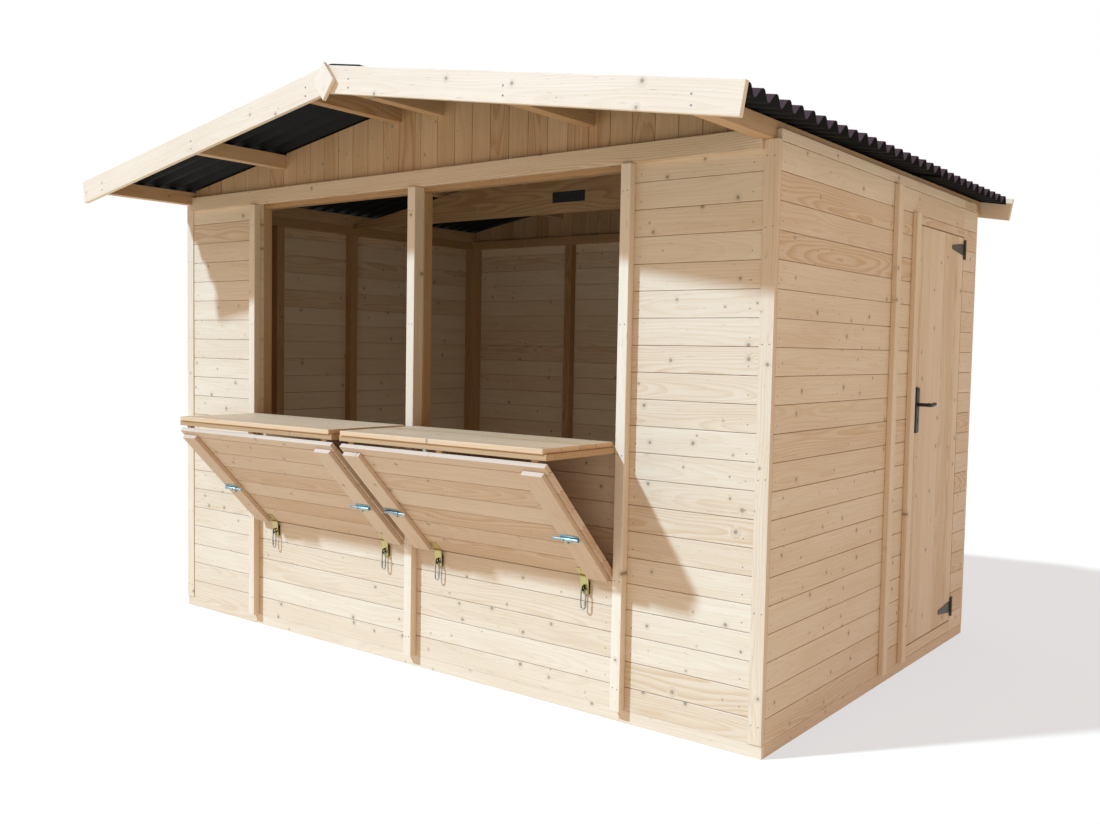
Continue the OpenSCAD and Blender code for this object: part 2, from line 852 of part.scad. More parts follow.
front_wall_left();
front_wall_right();
front_wall_low();
front_gable();
rear_wall();
rear_gable();
left_wall();
right_wall_front();
right_wall_over_door();
right_wall_rear();
front_frame();
rear_frame();
left_frame();
right_frame();
corner_boards();
front_trims();
side_trims();
top_bands();
skirting_boards();
door_leaf();
door_hinge_plates();
door_hinge_straps();
lock_plates();
door_lever();
eave_purlins();
middle_purlins();
ridge_purlins();
roof_sheet_left();
roof_sheet_right();
ridge_cap();
barge_boards_left();
barge_boards_right();
finials();
truss();
truss_plate();
counter_left();
counter_right();
counter_rails();
shutter_left();
shutter_right();
shutter_battens();
shutter_bolts();
hasps();
hasp_staples();
snap_hooks();
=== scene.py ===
"""Wooden market stall: boards, timbers, roof sheets, counters, shutters and ironmongery,
modelled around the stall's frame. Run as a script, it builds every piece in order."""

import math
import random

import bpy
import numpy as np
from bpy.props import FloatProperty, FloatVectorProperty, IntProperty, PointerProperty
from mathutils import Matrix, Vector


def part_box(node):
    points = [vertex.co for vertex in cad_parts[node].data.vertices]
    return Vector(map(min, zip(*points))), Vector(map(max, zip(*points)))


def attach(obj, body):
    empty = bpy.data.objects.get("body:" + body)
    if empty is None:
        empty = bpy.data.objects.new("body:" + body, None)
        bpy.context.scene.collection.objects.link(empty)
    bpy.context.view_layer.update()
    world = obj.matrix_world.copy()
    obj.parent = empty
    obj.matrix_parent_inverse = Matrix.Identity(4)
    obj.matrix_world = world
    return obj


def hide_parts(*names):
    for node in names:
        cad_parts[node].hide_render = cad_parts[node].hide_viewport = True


bl_info = {
    "name": "Wooden market stall",
    "version": (1, 0, 0),
    "blender": (4, 5, 0),
    "location": "3D View > Sidebar > Market stall",
    "description": "Builds the visible pieces of a boarded market stall around its frame",
    "category": "Object",
}

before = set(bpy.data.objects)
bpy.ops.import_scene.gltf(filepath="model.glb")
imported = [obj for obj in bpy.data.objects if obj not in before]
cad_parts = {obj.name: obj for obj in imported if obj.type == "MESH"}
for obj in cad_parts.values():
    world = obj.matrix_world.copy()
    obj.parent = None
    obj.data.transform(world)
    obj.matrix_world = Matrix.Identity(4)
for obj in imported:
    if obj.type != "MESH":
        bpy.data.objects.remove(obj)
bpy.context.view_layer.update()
MM = 0.001


def linear(hex_colour):
    """Linear red, green and blue of an sRGB hex colour."""
    parts = [int(hex_colour[i:i + 2], 16) / 255 for i in (1, 3, 5)]
    return tuple(c / 12.92 if c <= 0.04045 else ((c + 0.055) / 1.055) ** 2.4 for c in parts)


def length_property(name, description, millimetres):
    """A length that a user may change, stored in metres."""
    return FloatProperty(name=name, description=description, default=millimetres * MM,
                         min=0.0, subtype="DISTANCE", unit="LENGTH")


def colour_property(name, description, hex_colour):
    """A colour that a user may change."""
    return FloatVectorProperty(name=name, description=description, size=3, min=0.0, max=1.0,
                               subtype="COLOR", default=linear(hex_colour))


# ---- places that come from the frame ----

PURLIN_LO, PURLIN_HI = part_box("eave_purlins")
RIDGE_LO, RIDGE_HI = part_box("ridge_purlins")
ROOF_FALL = (RIDGE_LO.z - PURLIN_LO.z) / (PURLIN_HI.x - RIDGE_HI.x)
ROOF_PITCH = math.atan(ROOF_FALL)
PURLINS = ("eave_purlins", "middle_purlins", "ridge_purlins")
CONTACT_GAP = 0.3 * MM
PART_GAP = 0.5 * MM
PURLIN_H = PURLIN_HI.z - PURLIN_LO.z + CONTACT_GAP
WALL_LO, WALL_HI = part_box("rear_wall")
FRAME_LO, FRAME_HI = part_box("front_frame")
SIDE_LO, SIDE_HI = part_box("right_frame")
REAR_LO, REAR_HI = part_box("rear_frame")
LOW_WALL_LO, LOW_WALL_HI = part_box("front_wall_low")
DOOR_LO, DOOR_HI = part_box("door_leaf")
LOCK_LO, LOCK_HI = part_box("lock_plates")
LEVER_LO, LEVER_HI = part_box("door_lever")
BOARD_T = LOW_WALL_HI.y - LOW_WALL_LO.y
SPINDLE_Y = (LOCK_LO.y + LOCK_HI.y) / 2
SPINDLE_Z = (LEVER_LO.z + LEVER_HI.z) / 2
SPINDLE_BORE = 8.4 * MM


def under(x):
    """Height of the underside of the roof sheets at a distance x from the ridge."""
    return PURLIN_LO.z + PURLIN_H + ROOF_FALL * (PURLIN_HI.x - abs(x))


def slope_normal(side):
    """Outward normal of one roof slope. side is 1 for the right."""
    return (side * math.sin(ROOF_PITCH), 0, math.cos(ROOF_PITCH))


def slope_frame(y, side):
    """Frame of one roof slope: X down the slope, Z out of the roof. side is 1 or -1."""
    turned = Matrix.Rotation(ROOF_PITCH, 4, "Y")
    return Matrix.Scale(side, 4, (1, 0, 0)) @ Matrix.Translation((0, y, under(0))) @ turned


def shutter_frame():
    """Frame of the shutters: X across, Y up the slope from the foot, Z out of the outer face."""
    corners = [v.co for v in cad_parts["shutter_right"].data.vertices]
    foot = max(corners, key=lambda c: (round(c.y, 5), -c.z))
    top = max(corners, key=lambda c: (round(c.z, 5), c.y))
    up = Vector((0, top.y - foot.y, top.z - foot.z))
    out = Vector((0, -up.z, up.y)) / up.length
    turned = Matrix((Vector((1, 0, 0)), up.normalized(), out)).transposed().to_4x4()
    return Matrix.Translation((0, foot.y, foot.z)) @ turned, up.length


# ---- values that a user may change ----

class StallSizes(bpy.types.PropertyGroup):
    """Sizes of the boards, timbers and fittings."""
    first_joint: length_property("First joint", "Height of the lowest joint between boards", 121)
    board_cover: length_property("Board cover", "Height that each wall board covers", 87.7)
    gable_cover: length_property("Gable cover", "Width that each gable board covers", 87.4)
    joint_gap: length_property("Joint gap", "Open line between two boards", 1.6)
    tongue: length_property("Tongue", "Reach of a board's tongue into the next board", 6)
    eased_edge: length_property("Eased edge", "Radius of the planed arrises", 1.6)
    stud_width: length_property("Stud width", "Width of the frame timbers", 45)
    door_gap: length_property("Door gap", "Running gap around the door", 5)
    batten_width: length_property("Batten width", "Width of the shutter battens", 85)
    batten_inset: length_property("Batten inset", "From a batten to the shutter's edge", 12)
    shutter_thickness: length_property("Shutter thickness", "Thickness of the shutters", 18)
    batten_thickness: length_property("Batten thickness", "Thickness of the battens", 18)
    sheet_thickness: length_property("Sheet thickness", "Thickness of the roof sheets", 3)
    wave_height: length_property("Wave height", "Height of the roof sheet waves", 30)
    waves: IntProperty(name="Waves", description="Waves along the whole roof", default=31)
    sheets: IntProperty(name="Sheets", description="Lapped sheets on each slope", default=3)
    nail_radius: length_property("Nail head radius", "Radius of the nail heads", 2.0)


class StallFinishes(bpy.types.PropertyGroup):
    """Colours of the finishes."""
    spruce_pale: colour_property("Spruce earlywood", "Pale part of the boards", "#E2C9A8")
    spruce_late: colour_property("Spruce latewood", "Darker growth lines", "#C8A277")
    trim_pale: colour_property("Trim earlywood", "Pale part of the trims", "#E6CEAE")
    trim_late: colour_property("Trim latewood", "Growth lines of the trims", "#D2B088")
    # painted shade: the shutters' outer faces lean down into the shade under the counters, so they
    # get a darker copy of the board spruce
    shutter_pale_painted_shade: colour_property("Shutter earlywood", "Pale part of the shutters", "#D2B495")
    shutter_late_painted_shade: colour_property("Shutter latewood", "Growth lines of the shutters", "#BA9169")
    # painted shade: the gables and purlins sit in the shade under the roof, so they get a darker,
    # browner copy of the board spruce
    gable_pale_painted_shade: colour_property("Gable earlywood", "Pale part of gables and purlins", "#CCA477")
    gable_late_painted_shade: colour_property("Gable latewood", "Growth lines of gables", "#AB7C4B")
    counter_pale: colour_property("Counter earlywood", "Pale part of the counters", "#DDB68A")
    counter_late: colour_property("Counter latewood", "Growth lines of the counters", "#C59664")
    # partly the sawn timber's own colour, partly painted shade: the frame timbers stand in the
    # shaded reveals and the dark inside, and get darker colours for it
    stud_pale_painted_shade: colour_property("Stud earlywood", "Pale part of the frame timbers", "#C39B6C")
    stud_late_painted_shade: colour_property("Stud latewood", "Growth lines of the frame timbers", "#A17545")
    knot: colour_property("Knot", "Heart of a knot", "#7E654A")
    sheet_top: colour_property("Sheet upper face", "Bitumen sheet, upper face", "#402827")
    # painted shade: the sheets' undersides and rims get a near-black copy of the bitumen for the
    # deep shade under the roof
    sheet_under_painted_shade: colour_property("Sheet underside", "Bitumen sheet, underside", "#0C0A09")
    black_steel: colour_property("Black steel", "Lock and lever", "#100F0E")
    hinge_steel: colour_property("Hinge steel", "Black zinc on the hinges", "#3A3826")
    zinc: colour_property("Zinc", "Blue zinc on the bolts", "#8FA29F")
    # painted shade: the staples are the same yellow zinc as the hasps, given a darker copy for the
    # shade on the wall under the counter
    staple_zinc_painted_shade: colour_property("Bronzed zinc", "Staples", "#4E3D18")
    wire: colour_property("Wire", "Plated wire of the snap hooks", "#A9A49A")
    yellow_zinc: colour_property("Yellow zinc", "Hasps", "#5E4C18")
    floor: colour_property("Floor", "Studio floor", "#BCA281")


class StallLight(bpy.types.PropertyGroup):
    """Strengths of the studio light."""
    sun: FloatProperty(name="Key light", description="Strength of the key light", default=6.6,
                       min=0.0)
    floor_glow: FloatProperty(name="Floor glow", description="Light that the floor gives off",
                              default=0.63, min=0.0)
    sky: FloatProperty(name="Sky", description="Strength of the even light", default=0.56,
                       min=0.0)


# ---- modelling helpers ----

AXES = {"X": Vector((1, 0, 0)), "Y": Vector((0, 1, 0)), "Z": Vector((0, 0, 1))}


def clear_selection():
    bpy.ops.object.select_all(action="DESELECT")


def only(*pieces):
    """Selects these objects alone and makes the first one active."""
    clear_selection()
    for piece in pieces:
        piece.select_set(True)
    bpy.context.view_layer.objects.active = pieces[0]


def edit(piece, action="SELECT"):
    """Enters edit mode on one piece."""
    only(piece)
    bpy.ops.object.mode_set(mode="EDIT")
    bpy.ops.mesh.select_mode(type="VERT")
    bpy.ops.mesh.select_all(action=action)


def leave():
    """Leaves edit mode and returns the piece."""
    bpy.ops.object.mode_set(mode="OBJECT")
    return bpy.context.object


def pick(piece, test, mode="VERT"):
    """Enters edit mode with only the vertices, edges or faces that pass a test selected.
    The test is given a vertex's place, an edge's two ends or a face's middle and normal."""
    only(piece)
    mesh = piece.data
    for part in (mesh.vertices, mesh.edges, mesh.polygons):
        part.foreach_set("select", [False] * len(part))
    if mode == "VERT":
        for v in mesh.vertices:
            v.select = test(v.co)
    elif mode == "EDGE":
        for e in mesh.edges:
            e.select = test(*(mesh.vertices[i].co for i in e.vertices))
    else:
        for p in mesh.polygons:
            p.select = test(p.center, p.normal)
    kinds = ("VERT", "EDGE", "FACE")
    bpy.context.tool_settings.mesh_select_mode = [kind == mode for kind in kinds]
    bpy.ops.object.mode_set(mode="EDIT")


def settle(piece):
    """Puts a piece's place, turn and scale into its mesh."""
    only(piece)
    bpy.ops.object.transform_apply(location=True, rotation=True, scale=True)
    return piece


def box(lo, hi, ease=0.0, segments=2):
    """A box between two corners with eased edges."""
    lo, hi = Vector(lo), Vector(hi)
    clear_selection()
    bpy.ops.mesh.primitive_cube_add(size=1, location=(lo + hi) / 2)
    piece = bpy.context.object
    piece.scale = hi - lo
    settle(piece)
    if ease:
        edit(piece)
        bpy.ops.mesh.bevel(offset=ease, segments=segments, affect="EDGES")
        leave()
    return piece


def round_corners(piece, axis, radius, segments, where=lambda place: True):
    """Rounds the edges of a plate that run along an axis, where they pass a test."""
    def along(a, b):
        return abs((a - b).dot(AXES[axis])) > 0.9 * (a - b).length and where(a)

    pick(piece, along, "EDGE")
    bpy.ops.mesh.bevel(offset=radius, segments=segments, affect="EDGES")
    return leave()


def round_bar(start, end, radius, ease=0.0, sides=20):
    """A round bar between two points, with eased ends."""
    start, end = Vector(start), Vector(end)
    clear_selection()
    bpy.ops.mesh.primitive_cylinder_add(vertices=sides, radius=radius,
                                        depth=(end - start).length)
    piece = bpy.context.object
    turn = (end - start).to_track_quat("Z", "Y").to_matrix().to_4x4()
    half = (end - start).length / 2
    if ease:
        pick(piece, lambda a, b: abs(a.z - b.z) < 1e-6 and abs(abs(a.z) - half) < 1e-5, "EDGE")
        bpy.ops.mesh.bevel(offset=ease, segments=2, affect="EDGES")
        leave()
    piece.data.transform(Matrix.Translation((start + end) / 2) @ turn)
    return piece


def wire(points, radius, closed=False, taper=None, steps=6):
    """A round wire through points, made into a mesh. taper gives each point's share of radius."""
    clear_selection()
    bpy.ops.curve.primitive_bezier_curve_add()
    curve = bpy.context.object
    spline = curve.data.splines[0]
    spline.bezier_points.add(len(points) - 2)
    spline.use_cyclic_u = closed
    for i, (knot, point) in enumerate(zip(spline.bezier_points, points)):
        knot.co = point
        knot.handle_left_type = knot.handle_right_type = "AUTO"
        knot.radius = taper[i] if taper else 1.0
    curve.data.resolution_u = steps
    curve.data.bevel_depth = radius
    curve.data.bevel_resolution = 3
    curve.data.use_fill_caps = not closed
    bpy.ops.object.convert(target="MESH")
    piece = bpy.context.object
    edit(piece)
    bpy.ops.mesh.remove_doubles(threshold=1e-6)
    bpy.ops.mesh.normals_make_consistent(inside=False)
    return leave()


def bisect(piece, point, normal):
    """Cuts off what lies on the normal's side of a plane and closes the cut."""
    edit(piece)
    bpy.ops.mesh.bisect(plane_co=point, plane_no=normal, clear_outer=True, use_fill=True)
    leave()


def cut_out(piece, cutter):
    """Cuts the cutter's shape out of a piece."""
    only(piece)
    cut = piece.modifiers.new("cut", "BOOLEAN")
    cut.operation = "DIFFERENCE"
    cut.solver = "EXACT"
    cut.object = cutter
    bpy.ops.object.modifier_apply(modifier=cut.name)


def drop(*pieces):
    """Deletes objects that have done their work."""
    for piece in pieces:
        bpy.data.objects.remove(piece)


def copy_of(piece, matrix):
    """A copy with its own mesh, moved by a matrix. A mirrored copy keeps its faces outward."""
    mesh = piece.data.copy()
    mesh.transform(matrix)
    if matrix.determinant() < 0:
        mesh.flip_normals()
    copy = bpy.data.objects.new(piece.name, mesh)
    bpy.context.scene.collection.objects.link(copy)
    return copy


def clad(piece, material):
    """Gives a piece one material."""
    piece.data.materials.clear()
    piece.data.materials.append(material)
    return piece


def join(parts):
    """Joins parts into one object."""
    only(*parts)
    if len(parts) > 1:
        bpy.ops.object.join()
    return bpy.context.object


def deliver(parts, name, slot, *nodes, body="stall", smooth=0.0):
    """Joins parts into a named piece that rides on a body and stands for nodes of the frame."""
    piece = join(parts)
    piece.name = name
    piece.data.name = name
    if smooth:
        only(piece)
        bpy.ops.object.shade_smooth_by_angle(angle=math.radians(smooth))
    if nodes:
        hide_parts(*nodes)
    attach(piece, body)
    return piece


# ---- timbers ----

timber_models = {}


def timber_model(length, width, thickness, ease, tongue):
    """One timber, modelled once for each size: length along X, width along Y. A tongued one
    has its outline cut from a plane and drawn out, with a groove on its -Y edge."""
    key = (round(length, 5), round(width, 5), round(thickness, 5), round(ease, 5), tongue)
    if key in timber_models:
        return timber_models[key]
    half = Vector((length, width, thickness)) / 2
    if not tongue:
        piece = box(-half, half, ease)
        timber_models[key] = piece
        piece.hide_render = True
        return piece
    clear_selection()
    bpy.ops.mesh.primitive_plane_add(size=1, rotation=(math.pi / 2, 0, math.pi / 2))
    piece = bpy.context.object
    piece.scale = (width + tongue, thickness, 1)
    piece.location = (half.x, tongue / 2, 0)
    settle(piece)
    groove = -half.y + tongue + 1 * MM
    third = thickness / 6
    for point in ((0, groove, 0), (0, half.y, 0), (0, 0, third), (0, 0, -third)):
        edit(piece)
        bpy.ops.mesh.bisect(plane_co=point, plane_no=(0, 1, 0) if point[1] else (0, 0, 1))
        leave()
    pick(piece, lambda c, n: c.y < groove and abs(c.z) < third
         or c.y > half.y and abs(c.z) > third, "FACE")
    bpy.ops.mesh.delete(type="FACE")
    leave()
    edit(piece)
    bpy.ops.mesh.extrude_region_move(TRANSFORM_OT_translate={"value": (-length, 0, 0)})
    bpy.ops.mesh.select_all(action="SELECT")
    bpy.ops.mesh.normals_make_consistent(inside=False)
    leave()
    pick(piece, lambda a, b: abs(a.x - b.x) > half.x and all(
        abs(abs(c.z) - half.z) < 1e-6 and abs(abs(c.y) - half.y) < 1e-6
        for c in (a, b)), "EDGE")
    bpy.ops.mesh.bevel(offset=ease, segments=2, affect="EDGES")
    leave()
    timber_models[key] = piece
    piece.hide_render = True
    return piece


def clear_models():
    """Deletes the models once every copy is made."""
    drop(*timber_models.values())
    timber_models.clear()


def mark_grain(piece, matrix, rng):
    """Stores where the grain of one timber runs, in its own axes, and how dark it is."""
    mesh = piece.data
    count = len(mesh.vertices)
    places = np.empty(count * 3, np.float32)
    mesh.vertices.foreach_get("co", places)
    places = np.c_[places.reshape(-1, 3), np.ones(count)] @ np.array(matrix.inverted()).T
    along, across = rng.uniform(0, 60), rng.uniform(-0.05, 0.05)
    heart = (along, across, rng.choice((-1, 1)) * rng.uniform(0.03, 0.1))
    grain = mesh.attributes.new("grain", "FLOAT_VECTOR", "POINT")
    grain.data.foreach_set("vector", (places[:, :3] + heart).astype(np.float32).ravel())
    tone = mesh.attributes.new("tone", "FLOAT", "POINT")
    tone.data.foreach_set("value", [rng.random()] * count)


def timber(lo, hi, run, rng, material, ease=None, tongue=0.0, place=None, cuts=(), cutters=()):
    """One timber between two corners. run names the axis of its length and of its width.
    place moves it into another frame. cuts are planes, a point and a normal, and cutters
    are objects, both in the stall's frame."""
    ease = sizes().eased_edge if ease is None else ease
    along, across = AXES[run[0]], AXES[run[1]]
    lo, hi = Vector(lo), Vector(hi)
    span = hi - lo
    through = along.cross(across)
    model = timber_model(abs(span.dot(along)), abs(span.dot(across)), abs(span.dot(through)),
                         ease, tongue)
    matrix = Matrix((along, across, through)).transposed().to_4x4()
    matrix = Matrix.Translation((lo + hi) / 2) @ matrix
    if place:
        matrix = place @ matrix
    piece = copy_of(model, matrix)
    for point, normal in cuts:
        bisect(piece, point, normal)
    for cutter in cutters:
        cut_out(piece, cutter)
    mark_grain(piece, matrix, rng)
    return clad(piece, material)


def mirrored(lo, hi, side):
    """The two corners of a box, or of its mirror image across the ridge."""
    lo, hi = Vector(lo), Vector(hi)
    if side > 0:
        return lo, hi
    return Vector((-hi.x, lo.y, lo.z)), Vector((-lo.x, hi.y, hi.z))


def sizes():
    return bpy.context.scene.stall_sizes


def finishes():
    return bpy.context.scene.stall_finishes


def joints_between(low, high, first, cover):
    """Lower and upper edges of the boards between two heights."""
    shortest = 4 * MM
    lines = [low]
    line = first
    while line < high - shortest:
        if line > low + shortest:
            lines.append(line)
        line += cover
    return list(zip(lines, lines[1:] + [high]))


def wall_boards(lo, hi, run, rng, material, **cutting):
    """Tongued boards, one above another, over the area of a wall."""
    s = sizes()
    boards = []
    courses = joints_between(lo[2], hi[2], s.first_joint, s.board_cover)
    for low, high in courses:
        last = high == hi[2]
        boards.append(timber((lo[0], lo[1], low + (s.joint_gap if low > lo[2] else 0)),
                             (hi[0], hi[1], high), run, rng, material,
                             tongue=0.0 if last else s.tongue, **cutting))
    return boards


# ---- materials ----

def add(tree, kind, inputs=None, **settings):
    """Adds a node with its settings, and fills or links its inputs."""
    made = tree.nodes.new(kind)
    for key, value in settings.items():
        setattr(made, key, value)
    for key, value in (inputs or {}).items():
        if isinstance(value, bpy.types.Node):
            value = value.outputs[0]
        if isinstance(value, bpy.types.NodeSocket):
            tree.links.new(value, made.inputs[key])
        else:
            made.inputs[key].default_value = value
    return made


def new_material(name):
    """An empty material with a Principled shader, and its node tree."""
    material = bpy.data.materials.new(name)
    material.use_nodes = True
    tree = material.node_tree
    return material, tree, tree.nodes["Principled BSDF"]


def rgba(colour):
    return (*colour, 1.0)


def blend(tree, share, first, second):
    """A colour between two others, by a share from 0 to 1."""
    return add(tree, "ShaderNodeMix", {"Factor": share, 6: first, 7: second},
               data_type="RGBA").outputs[2]


def emboss(tree, shader, height, strength, depth):
    """Raises the surface by a height."""
    bump = add(tree, "ShaderNodeBump", {"Height": height, "Strength": strength,
                                        "Distance": depth})
    tree.links.new(bump.outputs[0], shader.inputs["Normal"])


def math_node(tree, operation, *values, **settings):
    """Adds a Math node with its values in order."""
    return add(tree, "ShaderNodeMath", dict(enumerate(values)), operation=operation, **settings)


def scaled(tree, place, factors):
    """A place with each axis multiplied by its own factor."""
    return add(tree, "ShaderNodeVectorMath", {0: place, 1: factors}, operation="MULTIPLY")


def knot_marks(tree, grain, knots):
    """Hearts and rings of the knots: about one in every 150 mm of board, 2 to 7.5 mm in
    radius, with a ragged edge. knots thins them out."""
    cell = (0.150, 0.060, 1.0)
    cells = scaled(tree, grain, tuple(1 / c for c in cell))
    spots = add(tree, "ShaderNodeTexVoronoi", {"Vector": cells, "Scale": 1.0},
                voronoi_dimensions="2D")
    away = add(tree, "ShaderNodeVectorMath", {0: spots.outputs["Position"], 1: cells},
               operation="SUBTRACT")
    away = scaled(tree, away, (cell[0], cell[1], 0.0))
    ragged = add(tree, "ShaderNodeTexNoise", {"Vector": grain, "Scale": 70.0, "Detail": 2.0})
    ragged = math_node(tree, "MULTIPLY_ADD", ragged, 0.006, -0.003)
    distance = add(tree, "ShaderNodeVectorMath", {0: away}, operation="LENGTH")
    distance = math_node(tree, "ADD", distance.outputs["Value"], ragged)
    dice = add(tree, "ShaderNodeSeparateColor", {0: spots.outputs["Color"]})
    there = math_node(tree, "GREATER_THAN", dice.outputs[0], 1.0 - 0.34 * knots)
    radius = add(tree, "ShaderNodeMapRange", {0: dice.outputs[1], 3: 0.0020, 4: 0.0075})
    share = math_node(tree, "DIVIDE", distance, radius)
    marks = []
    for outer, inner in ((1.25, 0.5), (3.2, 0.8)):
        mark = add(tree, "ShaderNodeMapRange", {0: share, 1: outer, 2: inner},
                   interpolation_type="SMOOTHSTEP")
        marks.append(math_node(tree, "MULTIPLY", mark, there))
    return marks


def growth_rings(tree, grain, halo):
    """Growth rings 6 mm apart, wider than real spruce so that they show. They wander along
    the board and bend round each knot, and each darkens slowly and ends sharply."""
    spacing = 0.006
    wander = add(tree, "ShaderNodeTexNoise", {"Vector": scaled(tree, grain, (0.9, 5.0, 5.0)),
                                              "Scale": 1.0, "Detail": 2.5, "Roughness": 0.5})
    wander = math_node(tree, "MULTIPLY_ADD", wander, 0.10, -0.05)
    ring = add(tree, "ShaderNodeVectorMath", {0: scaled(tree, grain, (0.0, 1.0, 1.0))},
               operation="LENGTH")
    ring = math_node(tree, "ADD", ring.outputs["Value"], wander)
    ring = math_node(tree, "MULTIPLY_ADD", halo, 0.008, ring)
    ring = math_node(tree, "DIVIDE", ring, spacing)
    ring = math_node(tree, "FRACT", ring)
    rise = add(tree, "ShaderNodeMapRange", {0: ring, 1: 0.25, 2: 0.9},
               interpolation_type="SMOOTHSTEP")
    fall = add(tree, "ShaderNodeMapRange", {0: ring, 1: 1.0, 2: 0.92})
    return math_node(tree, "MULTIPLY", rise, fall)


def softwood(name, pale, late, contrast=1.0, knots=1.0):
    """Planed spruce: creamy earlywood between fine darker growth lines that run with the
    board, small grey-brown knots with a soft ring of darker wood, and a silky dull surface.
    The growth rings are cylinders round the heart of the tree, so an end shows arcs."""
    found = bpy.data.materials.get(name)
    if found:
        return found
    material, tree, shader = new_material(name)
    grain = add(tree, "ShaderNodeAttribute", attribute_name="grain").outputs["Vector"]
    tone = add(tree, "ShaderNodeAttribute", attribute_name="tone").outputs["Fac"]
    core, halo = knot_marks(tree, grain, knots)
    ring = growth_rings(tree, grain, halo)

    # fibres: streaks about 4 mm wide and 300 mm long, soft clouds, and short dark flecks
    broad = add(tree, "ShaderNodeTexNoise", {"Vector": scaled(tree, grain, (3.0, 220.0, 220.0)),
                                             "Scale": 1.0, "Detail": 4.0, "Roughness": 0.62})
    clouds = add(tree, "ShaderNodeTexNoise", {"Vector": scaled(tree, grain, (2.2, 14.0, 14.0)),
                                              "Scale": 1.0, "Detail": 3.0})
    fleck = add(tree, "ShaderNodeTexNoise", {"Vector": scaled(tree, grain, (22.0, 210.0, 210.0)),
                                             "Scale": 1.0, "Detail": 1.0})
    fleck = add(tree, "ShaderNodeMapRange", {0: fleck, 1: 0.71, 2: 0.78})

    # how dark the wood is: boards with a high tone show their rings more
    strong = add(tree, "ShaderNodeMapRange", {0: tone, 1: 0.55, 2: 1.0, 3: 0.12 * contrast,
                                              4: 0.5 * contrast})
    dark = math_node(tree, "MULTIPLY", ring, strong)
    dark = math_node(tree, "MULTIPLY_ADD", broad, 0.7 * contrast, dark)
    dark = math_node(tree, "MULTIPLY_ADD", clouds, 0.55, dark)
    dark = math_node(tree, "ADD", dark, -0.42)
    dark = math_node(tree, "MULTIPLY_ADD", tone, 0.32, dark, use_clamp=True)
    colour = blend(tree, dark, rgba(pale), rgba(late))
    shade = math_node(tree, "MULTIPLY", halo, 0.35)
    colour = blend(tree, shade, colour, rgba(linear("#B59A78")))
    marks = math_node(tree, "MULTIPLY", fleck, 0.35)
    marks = math_node(tree, "MULTIPLY_ADD", core, 0.72, marks, use_clamp=True)
    colour = blend(tree, marks, colour, rgba(finishes().knot))
    tree.links.new(colour, shader.inputs["Base Color"])

    rough = add(tree, "ShaderNodeMapRange", {0: broad, 3: 0.5, 4: 0.72})
    tree.links.new(rough.outputs[0], shader.inputs["Roughness"])
    emboss(tree, shader, math_node(tree, "MULTIPLY_ADD", ring, 0.6, broad), 0.35, 0.0008)
    return material


def board_wood():
    f = finishes()
    return softwood("planed_spruce_boards", f.spruce_pale, f.spruce_late)


def trim_wood():
    f = finishes()
    return softwood("planed_spruce_trims", f.trim_pale, f.trim_late, contrast=0.8, knots=0.7)


# the board spruce in darker colours, as painted shade on the shutters' outer faces under the
# counters
def shutter_wood_painted_shade():
    f = finishes()
    return softwood("planed_spruce_shutters_painted_shade", f.shutter_pale_painted_shade, f.shutter_late_painted_shade)


# the board spruce in darker colours, as painted shade for the gables and purlins under the roof
def gable_wood_painted_shade():
    f = finishes()
    return softwood("planed_spruce_gables_painted_shade", f.gable_pale_painted_shade, f.gable_late_painted_shade, contrast=1.1)


def counter_wood():
    f = finishes()
    return softwood("planed_spruce_counters", f.counter_pale, f.counter_late, knots=0.8)


# sawn spruce, darkened partly as the sawn wood's own colour and partly as painted shade for the
# reveals and the inside
def sawn_stud_wood_painted_shade():
    f = finishes()
    return softwood("sawn_spruce_studs_painted_shade", f.stud_pale_painted_shade, f.stud_late_painted_shade, contrast=1.3, knots=0.8)


def bitumen(name, colour):
    """Pressed bitumen fibre sheet: a dull, slightly mottled face with the dent of the felt."""
    found = bpy.data.materials.get(name)
    if found:
        return found
    material, tree, shader = new_material(name)
    place = add(tree, "ShaderNodeTexCoord").outputs["Object"]
    felt = add(tree, "ShaderNodeTexNoise", {"Vector": place, "Scale": 420.0, "Detail": 3.0})
    mottle = add(tree, "ShaderNodeTexNoise", {"Vector": place, "Scale": 14.0, "Detail": 5.0})
    mixed = math_node(tree, "MULTIPLY_ADD", felt, 0.5, mottle)
    dust = add(tree, "ShaderNodeMapRange", {0: mixed, 1: 0.5, 2: 1.1, 3: 0.0, 4: 1.0})
    pale = tuple(0.01 + c * 1.6 for c in colour)
    tinted = blend(tree, dust, rgba(colour), rgba(pale))
    faint = blend(tree, 0.35, rgba(colour), tinted)
    tree.links.new(faint, shader.inputs["Base Color"])
    rough = add(tree, "ShaderNodeMapRange", {0: mottle, 3: 0.6, 4: 0.85})
    tree.links.new(rough.outputs[0], shader.inputs["Roughness"])
    shader.inputs["Specular IOR Level"].default_value = 0.2
    emboss(tree, shader, mixed, 0.4, 0.0008)
    return material


